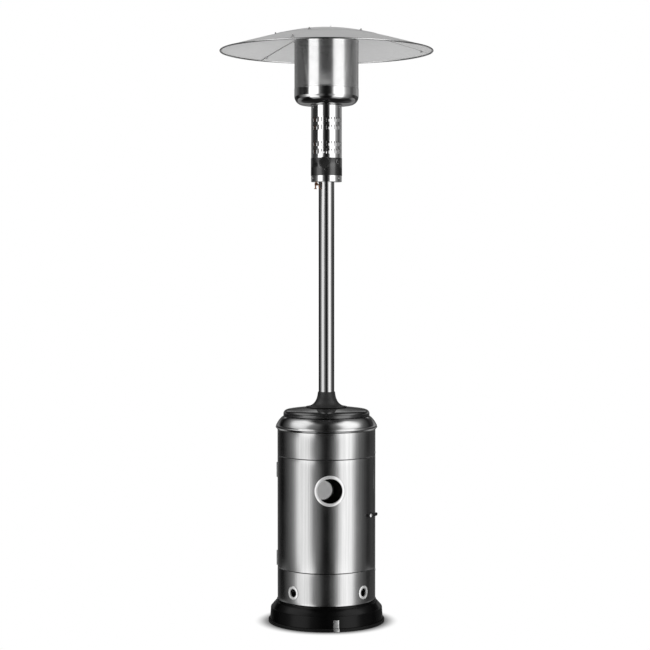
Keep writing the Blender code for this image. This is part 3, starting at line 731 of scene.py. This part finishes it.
def make_latch():
    place = outward(LEVER_R, *LATCH)
    bar = prism(tapered_bar(45.0 * MM, 8.0 * MM, 6.0 * MM), -2.0 * MM, 2.0 * MM)
    hub = turned(rod_profile(7.0, -1.0, -6.9), 48)
    grip = prism(tapered_bar(24.0 * MM, 3.2 * MM, 2.6 * MM), 1.2 * MM, 4.0 * MM)
    grip = moved(grip, shift(18.0 * MM, 0.0, 0.0))
    lever = carved(carved(bar, [hub], "UNION"), [grip])
    bore = turned(rod_profile(3.4, 8.0, -9.0), 40)
    fine("latch_lever", moved(bevelled(carved(lever, [bore]), 0.7 * MM), place), PLASTIC)

    hanging = [(-y, x) for x, y in tapered_bar(60.0 * MM, 7.0 * MM, 5.0 * MM)]
    cam = prism(hanging, -25.5 * MM, -23.5 * MM)
    stem = in_mm((0.0, 5.8), (3.0, 5.4), (5.2, 4.4), (6.8, 3.1), (7.0, 2.3), (3.0, 2.3), (3.0, -25.0),
                 (0.0, -25.0))
    spindle = carved(cam, [turned(stem, 48)], "UNION")
    fine("latch_spindle", moved(spindle, place), RIM_METAL)


# ---- Post and burner column ----


def make_post():
    low, high = POST_Z
    profile = [(POST_R, high), (POST_R, low), (POST_R - 1.5 * MM, low), (POST_R - 1.5 * MM, high)]
    fine("post", turned(profile, 128, closed=True), DRAWN)


def slot_outline(half_wide, half_high):
    """Sixteen points round an upright slot with round ends, from its top, clockwise seen from outside."""
    straight = half_high - half_wide

    def on_end(middle, angle):
        turn = math.radians(angle)
        return half_wide * math.sin(turn), middle + half_wide * math.cos(turn)

    right = [on_end(straight, angle) for angle in (0.0, 45.0, 90.0)]
    right += [(half_wide, straight * share) for share in (0.5, 0.0, -0.5)]
    right += [on_end(-straight, angle) for angle in (90.0, 135.0)]
    return right + [(-x, -height) for x, height in right]


def round_outline(radius):
    """Eight points round a hole, from its top, clockwise seen from outside."""
    turns = [math.radians(45.0 * i) for i in range(8)]
    return [(radius * math.sin(turn), radius * math.cos(turn)) for turn in turns]


def cell_outline(half_wide, half_high, count):
    """The same number of points round the cell's rectangle, with its corners and edge middles among them."""

    def wave(eighths):
        """Swings between -1 and 1, flat at both ends, once in eight steps."""
        return max(-1.0, min(1.0, 2.0 - abs((eighths + 2.0) % 8.0 - 4.0)))

    turns = [8.0 * i / count for i in range(count)]
    return [(wave(turn) * half_wide, wave(turn + 2.0) * half_high) for turn in turns]


def punched_rows(shape, radius, around, rows, hole):
    """Add rows of cells round a cylinder, each with a hole. rows lists (z_low, z_high, staggered)."""
    pitch = 360.0 / around
    for z_low, z_high, staggered in rows:
        middle, half = (z_low + z_high) / 2, (z_high - z_low) / 2
        outer = cell_outline(pitch / 2, half, len(hole))
        for column in range(around):
            azimuth = (column + (0.5 if staggered else 0.0)) * pitch
            inner = [(math.degrees(x / radius), h) for x, h in hole]
            rim, lip = [[shape.verts.new(polar(radius, azimuth + a, middle + h)) for a, h in outline]
                        for outline in (outer, inner)]
            for i in range(len(hole)):
                j = (i + 1) % len(hole)
                shape.faces.new([rim[i], lip[i], lip[j], rim[j]])


def plain_rows(shape, radius, columns, heights):
    """Add plain bands between heights, listed from the top."""
    turns = [360.0 * i / columns for i in range(columns)]
    rings = [[shape.verts.new(polar(radius, turn, z)) for turn in turns] for z in heights]
    for upper, lower in zip(rings, rings[1:]):
        for i in range(columns):
            j = (i + 1) % columns
            shape.faces.new([upper[i], lower[i], lower[j], upper[j]])


def welded_outward(shape):
    bmesh.ops.remove_doubles(shape, verts=shape.verts[:], dist=1e-5)
    bmesh.ops.recalc_face_normals(shape, faces=shape.faces)
    shape.faces.ensure_lookup_table()
    shape.normal_update()
    face_outwards(shape, shape.faces[0])
    return mesh_from(shape)


SLOT_ROWS = ((1.7860, 1.8145), (1.8145, 1.8430), (1.8765, 1.9060), (1.9060, 1.9355))
SLOTS_AROUND = 36


def control_bores():
    """Cutters for the holes of the valve stem and the igniter button, through the column and its panel."""
    stem = turned(rod_profile(4.5, 20.0, -20.0), 32)
    button = turned(rod_profile(6.0, 10.0, -10.0), 32)
    return [moved(stem, forward(KNOB_AT.x, -COLUMN_R, KNOB_AT.z)), moved(button, outward(COLUMN_R, *IGNITER))]


def make_column():
    low, high = COLUMN_Z
    shape = bmesh.new()
    rows = [(z_low, z_high, False) for z_low, z_high in SLOT_ROWS]
    punched_rows(shape, COLUMN_R, SLOTS_AROUND, rows, slot_outline(1.7 * MM, 9.6 * MM))
    above, between = (high, SLOT_ROWS[3][1]), (SLOT_ROWS[2][0], SLOT_ROWS[1][1])
    for heights in (above, between, (SLOT_ROWS[0][0], 1.7805, low)):
        plain_rows(shape, COLUMN_R, 4 * SLOTS_AROUND, heights)
    column = thicken(welded_outward(shape), SHEET)
    fine("burner_column", carved(column, control_bores()), POLISHED)

    inner = COLUMN_R - 1.3 * MM
    bottom = [(inner, 1.6925), (inner, 1.6890)]
    bottom += bezier((inner - 1.0 * MM, 1.6872), (0.0480, 1.6862), (0.0380, 1.6870),
                     (POST_R + 0.5 * MM, 1.6885), 8)
    fine("column_bottom", sheet(bottom, steps=96), SATIN)

    screw = pan_screw_mesh(3.4 * MM, 1.8 * MM)
    spots = [(a, 1.6985) for a in (-65.0, 55.0, 175.0)] + [(a, 1.9680) for a in (-60.0, 60.0, 180.0)]
    scatter("column_screw", screw, [outward(COLUMN_R, a, z) for a, z in spots], BRIGHT)

    # Rolled bead where the column stands in the emitter bowl.
    bead = arc((COLUMN_R + 1.2 * MM, BOWL_Z[0] - 1.6 * MM), 1.3 * MM, 0.0, 330.0, 11)
    piece("column_bead", turned(bead[::-1], 96, closed=True), POLISHED)


def make_panel():
    low, high = PANEL_Z
    edge = 0.4 * MM
    wall = [(PANEL_R - edge, high)] + arc((PANEL_R - edge, high - edge), edge, 90.0, 0.0, 2)
    wall += arc((PANEL_R - edge, low + edge), edge, 0.0, -90.0, 2)
    panel = sheet(wall, 0.8 * MM, 120, (-100.0, 100.0))
    fine("control_panel", carved(panel, control_bores()), PANEL_PAINT)


KNOB_RADIUS = (KNOB_HIGH.z - KNOB_LOW.z) / 2
KNOB_FRONT, KNOB_BACK = -KNOB_LOW.y, -KNOB_HIGH.y
KNOB_BORE_BACK = 72.6 * MM


def make_knob():
    """A skirt and a fluted barrel with a finger dish and a pointer line."""
    radius, back, front = KNOB_RADIUS, KNOB_BACK, KNOB_FRONT
    skirt = [(0.0, back + 6.0 * MM), (radius - 5.0 * MM, back + 6.0 * MM),
             (radius - 1.2 * MM, back + 4.2 * MM), (radius, back + 3.0 * MM), (radius, back + 0.5 * MM),
             (radius - 0.5 * MM, back), (3.4 * MM, back), (3.4 * MM, KNOB_BORE_BACK), (0.0, KNOB_BORE_BACK)]
    skirt_mesh = turned(skirt, 96)
    flutes, depth, steps = 18, 0.9 * MM, 8
    outline = []
    for i in range(flutes * steps):
        turn = math.tau * i / (flutes * steps)
        reach = radius - 3.6 * MM - depth * (0.5 - 0.5 * math.cos(flutes * turn)) ** 2
        outline.append((reach * math.cos(turn), reach * math.sin(turn)))
    barrel = bevelled(prism(outline, back + 5.0 * MM, front), 0.9 * MM)
    hollow = [(0.0, 10.0 * MM), (radius - 7.5 * MM, 10.0 * MM), (radius - 8.5 * MM, front - 0.9 * MM),
              (0.0, front - 1.1 * MM)]
    knob = carved(carved(skirt_mesh, [barrel], "UNION"), [turned(hollow, 64)])
    at = forward(KNOB_AT.x, 0.0, KNOB_AT.z)
    fine("control_knob", moved(knob, at), PLASTIC)
    pointer = bevelled(bar_mesh(1.6 * MM, 9.0 * MM, 0.7 * MM), 0.2 * MM)
    pointer = moved(pointer, at @ shift(0.0, 8.5 * MM, front - 0.85 * MM))
    piece("knob_pointer", pointer, MARKING, "knob")


def make_dial():
    """Plain ticks round the knob, raised from the panel, where the panel reaches."""
    reach = KNOB_RADIUS + 3.2 * MM
    ticks = []
    for angle in (0.0, 90.0, 135.0, 180.0):
        turn = math.radians(angle)
        x, z = KNOB_AT.x - reach * math.sin(turn), KNOB_AT.z + reach * math.cos(turn)
        if PANEL_Z[0] + 2.0 * MM < z < PANEL_Z[1] - 1.0 * MM:
            ticks.append(outward(PANEL_R, math.degrees(math.asin(x / PANEL_R)), z))
    tick = bevelled(bar_mesh(1.4 * MM, 2.6 * MM, 0.4 * MM), 0.1 * MM, 2)
    scatter("dial_tick", tick, ticks, MARKING)


def make_igniter():
    """A bezel nut on the panel and a domed button."""
    bezel = in_mm((6.2, 2.2), (7.6, 2.0), (8.4, 1.2), (8.6, 0.1), (6.2, 0.1))
    bezel_mesh = moved(turned(bezel, 48, closed=True), outward(PANEL_R + 0.4 * MM, *IGNITER))
    piece("igniter_bezel", bezel_mesh, BRIGHT)
    button = in_mm((0.0, 67.0), (2.4, 66.9), (4.2, 66.3), (4.9, 65.2), (5.0, 64.5), (5.0, 56.0),
                   (0.0, 56.0))
    fine("igniter_button", moved(turned(button, 48), outward(0.0, *IGNITER)), PLASTIC)


def make_test_union():
    """Fitting under the column: hexagon body, drain leg with its foot, and the copper tube."""
    x, y = -39.0 * MM, -30.0 * MM
    hexagon = prism(hex_outline(11.0 * MM), 1.6710, 1.6812)
    leg = in_mm((0.0, 1673.0), (3.0, 1673.0), (2.6, 1666.0), (3.0, 1661.0), (4.8, 1660.5), (5.0, 1659.0),
                (5.0, 1657.8), (4.6, 1657.4), (0.0, 1657.4))
    leg_mesh = moved(turned(leg, 32), shift(-2.6 * MM, 0.0, 0.0))
    neck = turned(rod_profile(3.6, 1686.3, 1680.0), 32)
    union = merged([bevelled(hexagon, 0.7 * MM), neck, leg_mesh])
    fine("test_union", moved(union, shift(x, y, 0.0)), COPPER)
    bend = in_mm((5.2, 0.0, 1676.5), (8.5, 0.2, 1675.5), (10.2, 0.8, 1670.0), (11.0, 2.0, 1664.0),
                 (12.6, 4.0, 1660.0), (17.1, 8.1, 1658.0))
    route = [(x + right, y + back, z) for right, back, z in bend]
    fine("test_union_tube", tube(route, 1.9 * MM), COPPER)


# ---- Emitter and reflector ----


def at_studs(z):
    """A matrix at each of the lid's studs."""
    return [shift(*polar(STUD_CIRCLE, azimuth, z)) for azimuth in STUD_AZIMUTHS]


def make_emitter():
    bottom, band = BOWL_Z
    bend = 33.0 * MM
    bowl = [(EMITTER_R - 1.2 * MM, band + 0.2 * MM), (EMITTER_R - 0.1 * MM, band - 0.5 * MM),
            (EMITTER_R, band - 1.6 * MM), (EMITTER_R, bottom + bend)]
    bowl += arc((EMITTER_R - bend, bottom + bend), bend, 0.0, -84.0, 14)
    bowl += [(COLUMN_R + 1.4 * MM, bottom)]
    fine("emitter_bowl", sheet(bowl), BOWL_METAL)

    # The screen: rows of round holes between two plain bands.
    top, radius = SCREEN_Z[1], EMITTER_R - 0.6 * MM
    around = 168
    clear_low, clear_high = band + 5.0 * MM, top - 5.0 * MM
    count = round((clear_high - clear_low) / (math.tau * EMITTER_R / around * 0.9))
    pitch = (clear_high - clear_low) / count
    rows = [(clear_low + i * pitch, clear_low + (i + 1) * pitch, i % 2 == 1) for i in range(count)]
    shape = bmesh.new()
    punched_rows(shape, radius, around, rows, round_outline(1.15 * MM))
    for heights in ((clear_low, band + 0.5 * MM), (top, clear_high)):
        plain_rows(shape, radius, 2 * around, heights)
    fine("emitter_screen", thicken(welded_outward(shape), 0.8 * MM), SCREEN)

    low, stud_top = levels("emitter_lid")
    rim = [(0.0, low + 2.0 * MM), (EMITTER_R - 1.2 * MM, low + 2.0 * MM)]
    rim += arc((EMITTER_R - 1.0 * MM, low + 0.8 * MM), 1.2 * MM, 90.0, -90.0, 6)
    rim += [(0.0, low)]
    shells = [turned(rim, 128)]
    stud = [(0.0, stud_top), (2.5 * MM, stud_top), (3.0 * MM, stud_top - 0.6 * MM),
            (3.0 * MM, low + 1.0 * MM), (0.0, low + 1.0 * MM)]
    shells += [moved(turned(stud, 24), spot) for spot in at_studs(0.0)]
    fine("emitter_lid", merged(shells), ZINC)


DISH_RISE, DISH_POWER, DISH_CROWN = 81.0 * MM, 1.2, 0.25
DISH_GAUGE = 0.9 * MM
CENTRE_LAP = 1.6 * MM
INNER_CIRCLE, OUTER_CIRCLE = 0.480 * DISH_R, 0.915 * DISH_R
CENTRE_BOLTS = (-79.5, 41.0, 160.5)


def dish_height(radius):
    """Height of the reflector's sheet above its rim."""

    def drop(share):
        return (share ** 4 + DISH_CROWN ** 4) ** (DISH_POWER / 4)

    return DISH_RISE * (drop(1.0) - drop(radius / DISH_R)) / (drop(1.0) - drop(0.0))


STUD_Z = DISH_RIM_Z + dish_height(STUD_CIRCLE)


def dish_place(radius, azimuth, drop):
    """Matrix at a depth below the reflector's sheet, local +Z pointing down off it."""
    step = 1.0 * MM
    slope = math.atan2(dish_height(radius - step) - dish_height(radius + step), 2 * step)
    turn = spin(azimuth, "Z") @ Matrix.Rotation(math.pi + slope, 4, "X")
    return shift(*polar(radius, azimuth, DISH_RIM_Z + dish_height(radius) - drop)) @ turn


def joint_strip_mesh(azimuth, inner, outer):
    """A narrow strip under a seam between two petals."""
    shape = bmesh.new()
    count = 24
    rows = []
    for i in range(count + 1):
        r = inner + (outer - inner) * i / count
        z = DISH_RIM_Z + dish_height(r) - DISH_GAUGE - 0.3 * MM
        half = math.degrees(2.4 * MM / r)
        turns = [azimuth + share * half for share in (-1.0, -0.5, 0.0, 0.5, 1.0)]
        rows.append([shape.verts.new(polar(r, turn, z)) for turn in turns])
    for a, b in zip(rows, rows[1:]):
        for i in range(4):
            shape.faces.new([a[i], b[i], b[i + 1], a[i + 1]])
    bmesh.ops.recalc_face_normals(shape, faces=shape.faces)
    shape.faces.ensure_lookup_table()
    if shape.faces[0].normal.z > 0:
        bmesh.ops.reverse_faces(shape, faces=shape.faces[:])
    return evaluated(mesh_from(shape), [("SOLIDIFY", {"thickness": 0.8 * MM, "offset": 1.0})])


def make_reflector():
    inner, rows = 0.44 * DISH_R, 22
    radii = [inner + (DISH_R - 2.4 * MM - inner) * i / rows for i in range(rows + 1)]
    petal = [(r, DISH_RIM_Z + dish_height(r)) for r in radii]
    petal += arc((DISH_R - 2.0 * MM, DISH_RIM_Z - 1.4 * MM), 2.0 * MM, 60.0, -90.0, 6)
    for number, (start, end) in enumerate(zip(PETAL_SEAMS, PETAL_SEAMS[1:]), 1):
        span = (start + 0.12, end - 0.12)
        fine("reflector_petal_%d" % number, sheet(petal, DISH_GAUGE, 96, span), DISH_METAL)

    rings = 20
    radii = [CENTRE_R * i / rings for i in range(rings + 1)]
    centre = [(r, DISH_RIM_Z + dish_height(r) + CENTRE_LAP) for r in radii]
    stud_hole = rod_profile(3.5, 20.0, -20.0)
    holes = [moved(turned(stud_hole, 24), spot) for spot in at_studs(STUD_Z)]
    fine("reflector_centre", carved(sheet(centre, DISH_GAUGE), holes), DISH_METAL)

    for number, azimuth in enumerate(PETAL_JOINTS, 1):
        strip = joint_strip_mesh(azimuth, inner + 6.0 * MM, DISH_R - 3.0 * MM)
        piece("joint_strip_%d" % number, strip, SATIN)

    # The rim is rolled over a wire.
    bead = arc((DISH_R - 2.5 * MM, DISH_RIM_Z - 1.4 * MM), 3.0 * MM, 0.0, 345.0, 23)
    piece("rolled_rim", turned(bead[::-1], 384, closed=True), BRIGHT)

    make_reflector_fasteners()

    # The matt underside isn't mirrored in the emitter below it.
    for ob in bpy.context.scene.objects:
        if ob.name.startswith(("reflector_", "rolled_rim", "joint_strip")) and ob.type == "MESH":
            ob.visible_glossy = False


def make_reflector_fasteners():
    # Bolts under the centre panel's edge, and at both ends of each joint between petals.
    over_strip = DISH_GAUGE + 1.1 * MM
    bolts = [dish_place(INNER_CIRCLE, azimuth, DISH_GAUGE) for azimuth in CENTRE_BOLTS]
    bolts += [dish_place(circle, azimuth, over_strip) for circle in (INNER_CIRCLE, OUTER_CIRCLE)
              for azimuth in PETAL_JOINTS]
    scatter("reflector_bolt", hex_bolt_mesh(8.0 * MM, 4.4 * MM), bolts, BRIGHT)

    # Each of those bolts ends in a nut on the outside of the dish.
    outer_nut = in_mm((0.0, 7.0), (1.9, 7.0), (2.2, 6.4), (2.2, 3.6), (3.6, 3.4), (4.2, 2.8), (4.2, 0.8),
                      (5.6, 0.8), (5.8, 0.0), (0.0, 0.0))
    turn_over = Matrix.Rotation(math.pi, 4, "X")
    tops = []
    for circle, azimuths, rise in ((INNER_CIRCLE, CENTRE_BOLTS + PETAL_JOINTS, CENTRE_LAP + 0.1 * MM),
                                   (OUTER_CIRCLE, PETAL_JOINTS, 0.2 * MM)):
        tops += [dish_place(circle, azimuth, -rise) @ turn_over for azimuth in azimuths]
    scatter("outer_nut", turned(outer_nut, 6), tops, BRIGHT)

    # On the lid's studs, a wing nut below the centre panel and a plain nut on top of it.
    below = at_studs(STUD_Z - 9.5 * MM)
    spots = [spot @ spin(azimuth * 2.3, "Z") for spot, azimuth in zip(below, STUD_AZIMUTHS)]
    scatter("wing_nut", wing_nut_mesh(), spots, BRIGHT)
    top_nut = in_mm((3.05, 3.6), (5.0, 3.4), (5.8, 2.4), (5.8, 0.0), (3.05, 0.0))
    above = at_studs(STUD_Z + CENTRE_LAP + 0.6 * MM)
    scatter("top_nut", turned(top_nut, 6, closed=True), above, BRIGHT)


def wing_nut_mesh():
    hub = in_mm((3.05, 7.0), (4.6, 7.0), (6.4, 0.0), (3.05, 0.0))
    outline = in_mm((4.4, 1.0), (9.0, 3.0), (13.0, 8.0), (13.5, 11.5), (11.0, 12.5), (7.0, 9.0), (4.2, 6.4))
    shells = [turned(hub, 32, closed=True)]
    for side in (-1, 1):
        wing = prism([(side * x, y) for x, y in outline], -1.1 * MM, 1.1 * MM)
        shells.append(bevelled(moved(wing, spin(90.0, "X")), 0.6 * MM, 2))
    return merged(shells)


# ---- CAD nodes that keep their shape ----

SLOT_MATERIALS = {"zinc_plate": ZINC, "black_plastic": PLASTIC, "black_rubber": RUBBER, "cast_iron": CAST,
                  "brass": BRASS, "copper": COPPER, "white_ceramic": CERAMIC}


def dress_cad_nodes():
    """Give every CAD node that still shows its material, and soften the edges of the small hardware."""
    for name, ob in NODES.items():
        if ob.hide_render:
            continue
        ob.data.materials.clear()
        ob.data.materials.append(SLOT_MATERIALS[SLOT_OF[name]])
        if "hinge" in name or name in ("latch_strike", "tilt_switch", "gas_valve"):
            soften = ob.modifiers.new("soften", "BEVEL")
            soften.width = 0.25 * MM
            soften.segments = 2
            soften.limit_method = "ANGLE"
            soften.angle_limit = math.radians(50.0)


# ---- Stage, light and camera ----

CAMERA_AT = (-0.0056, -6.640, 1.386)
CAMERA_DIP = 2.13
FOCAL_LENGTH, SENSOR_WIDTH = 96.04, 36.0


def make_camera():
    data = bpy.data.cameras.new("camera")
    data.sensor_width = SENSOR_WIDTH
    data.lens = FOCAL_LENGTH
    camera = linked("camera", data)
    camera.location = CAMERA_AT
    camera.rotation_euler = (math.radians(90.0 - CAMERA_DIP), 0.0, 0.0)
    bpy.context.scene.camera = camera


# Radii over which the grey floor fades into glowing white; they set the size of the partly painted shadow
# ring round the base.
SHADOW_RING_FADE = (0.215, 0.280)
WHITE = (1.0, 1.0, 1.0)


def make_floor():
    """A floor, grey near the object where it takes real shadow, fading into glowing white further out: the
    darker ring round the base is partly real shadow and partly painted shadow.
    """
    shape = bmesh.new()
    bmesh.ops.create_circle(shape, cap_ends=True, segments=96, radius=30.0)
    mesh = mesh_from(shape)
    g = Surface("pale_floor")
    g.look(colour=grey(0.50), roughness=0.9, specular=0.0)
    away = g.make("ShaderNodeVectorMath", "Value", {0: g.coords.outputs["Object"]}, operation="LENGTH")
    glow = g.make("ShaderNodeEmission", "Emission", {"Color": WHITE})
    # Grey floor near the base, glowing white further out: the ring between is partly real shadow, partly
    # painted shadow.
    feeds = {0: g.ramp(away, *SHADOW_RING_FADE, 0.0, 1.0), 1: g.shader.outputs["BSDF"], 2: glow}
    mixed = g.make("ShaderNodeMixShader", "Shader", feeds)
    g.feed(g.tree.nodes["Material Output"].inputs["Surface"], mixed)
    mesh.materials.append(g.material)
    floor = linked("floor", mesh)
    floor.location.z = -0.5 * MM
    floor.visible_glossy = False


# Brightness of the studio by azimuth in degrees: two tall soft boxes in front and dimmer ones behind.
# LOW_STUDIO is what the housing and the post mirror, HIGH_STUDIO what the column and the emitter mirror.
LOW_STUDIO = ((-180, 0.24), (-170, 0.18), (-160, 0.10), (-148, 0.05), (-137, 0.02), (-122, 0.01),
              (-112, 0.05), (-104, 0.09), (-98, 0.14), (-88, 0.25), (-80, 0.50), (-72, 1.00), (-64, 1.24),
              (-54, 1.30), (-45, 1.20), (-38, 0.92), (-32, 0.42), (-24, 0.23), (-16, 0.14), (-9, 0.04),
              (-3, 0.01), (3, 0.01), (10, 0.07), (19, 0.22), (26, 0.60), (32, 1.20), (38, 1.45),
              (48, 1.56), (57, 1.52), (64, 1.16), (71, 0.52), (80, 0.24), (91, 0.14), (102, 0.08),
              (114, 0.03), (128, 0.06), (147, 0.07), (160, 0.10), (170, 0.18), (180, 0.24))
HIGH_STUDIO = ((-180, 0.05), (-168, 0.07), (-156, 0.20), (-145, 0.22), (-138, 0.16), (-122, 0.08),
               (-109, 0.03), (-97, 0.035), (-86, 0.02), (-76, 0.03), (-70, 0.15), (-66, 0.90), (-62, 1.70),
               (-45, 1.80), (-34, 1.65), (-29, 1.00), (-25, 0.25), (-20, 0.10), (-14, 0.04), (-8, 0.015),
               (0, 0.01), (8, 0.015), (14, 0.04), (19, 0.16), (24, 0.70), (29, 1.40), (45, 1.80),
               (60, 1.75), (66, 1.20), (72, 0.60), (80, 0.32), (92, 0.20), (103, 0.10), (115, 0.16),
               (129, 0.22), (147, 0.36), (158, 0.22), (169, 0.07), (180, 0.05))
STUDIO_TOP = 1.8
SHOULDER_LEAN, SLOPE_DIMMING, BEND_LEVEL = 0.62, 0.38, 0.42
BEHIND_LEVEL, FLOOR_GLOW_LEVEL = 0.60, 0.45
UNDER_LEVEL, ZENITH_LEVEL = 0.04, 0.03


def panorama(g, table, turn):
    """The brightness that a table of azimuths gives at an angle in radians."""
    curve = g.add("ShaderNodeFloatCurve")
    line = curve.mapping.curves[0]
    for azimuth, value in table[1:-1]:
        line.points.new((azimuth + 180.0) / 360.0, value / STUDIO_TOP)
    line.points[0].location = (0.0, table[0][1] / STUDIO_TOP)
    line.points[-1].location = (1.0, table[-1][1] / STUDIO_TOP)
    curve.mapping.update()
    g.feed(curve.inputs["Value"], g.maths("MULTIPLY_ADD", turn, 1.0 / math.tau, 0.5))
    return g.maths("MULTIPLY", curve.outputs["Value"], STUDIO_TOP)


def make_world():
    world = bpy.data.worlds.new("studio")
    bpy.context.scene.world = world
    g = Graph(world)
    split = g.add("ShaderNodeSeparateXYZ")
    g.feed(split.inputs[0], g.coords.outputs["Generated"])
    turn = g.maths("ARCTAN2", split.outputs["X"], g.maths("MULTIPLY", split.outputs["Y"], -1.0))
    sideways = g.maths("ABSOLUTE", turn)
    up = split.outputs["Z"]

    def rise(start, end, value=up):
        return g.ramp(value, start, end, 0.0, 1.0)

    def fall(start, end, to=0.0):
        return g.ramp(up, start, end, 1.0, to)

    def both(a, b):
        return g.maths("MULTIPLY", a, b)

    # The soft boxes lean outwards higher up, so a sloping shoulder mirrors them where the wall below does.
    low = panorama(g, LOW_STUDIO, both(turn, fall(0.15, 0.75, SHOULDER_LEAN)))
    # They are dimmer some way above the horizon, which only a sloping shoulder mirrors.
    sloping = both(rise(0.10, 0.28), fall(0.50, 0.70))
    low = both(low, g.maths("MULTIPLY_ADD", sloping, -SLOPE_DIMMING, 1.0))
    high = both(panorama(g, HIGH_STUDIO, turn), fall(-0.40, -0.62, BEND_LEVEL))
    # The column and the emitter stand above the camera: their walls mirror what is a little above the
    # horizon, and the bend of the bowl what is far below it.
    head = g.maths("MAXIMUM", both(rise(0.030, 0.055), fall(0.16, 0.26)), rise(-0.32, -0.38))
    mirrored = g.blend(low, high, head)
    # Light off the floor behind, seen only by what is looked at from above.
    floor_glow = both(both(rise(1.7, 2.3, sideways), rise(-0.24, -0.31)), fall(-0.47, -0.57))
    mirrored = g.blend(mirrored, FLOOR_GLOW_LEVEL, floor_glow)
    # A dim panel behind the object, above its horizon.
    behind = both(both(rise(2.65, 2.90, sideways), rise(0.27, 0.37)), fall(0.36, 0.46))
    mirrored = g.blend(mirrored, BEHIND_LEVEL, behind)
    mirrored = g.blend(mirrored, UNDER_LEVEL, rise(-0.70, -0.85))
    mirrored = g.blend(mirrored, ZENITH_LEVEL, rise(0.88, 0.96))
    # Matt surfaces take more light from below than from above, and the camera sees white.
    scattered = g.ramp(up, -0.10, 0.30, 0.95, 0.36)
    path = g.add("ShaderNodeLightPath")
    lit = g.blend(mirrored, scattered, path.outputs["Is Diffuse Ray"])
    seen = g.blend(lit, 1.0, path.outputs["Is Camera Ray"])
    g.feed(g.tree.nodes["Background"].inputs["Color"], seen)


def make_light():
    """A broad soft lamp overhead that isn't mirrored."""
    light = bpy.data.lights.new("overhead", "AREA")
    light.shape = "DISK"
    light.size = 6.0
    light.energy = 60.0
    lamp = linked("overhead", light)
    lamp.location = (-0.6, -1.2, 5.2)
    lamp.rotation_euler = (-lamp.location).to_track_quat("-Z", "Y").to_euler()
    lamp.visible_glossy = False
    lamp.visible_camera = False


make_camera()
make_base()
make_housing()
make_top()
make_latch()
make_post()
make_column()
make_panel()
make_knob()
make_dial()
make_igniter()
make_test_union()
make_emitter()
make_reflector()
dress_cad_nodes()
make_floor()
make_world()
make_light()
bpy.context.scene.view_settings.view_transform = "Standard"

bpy.context.view_layer.update()
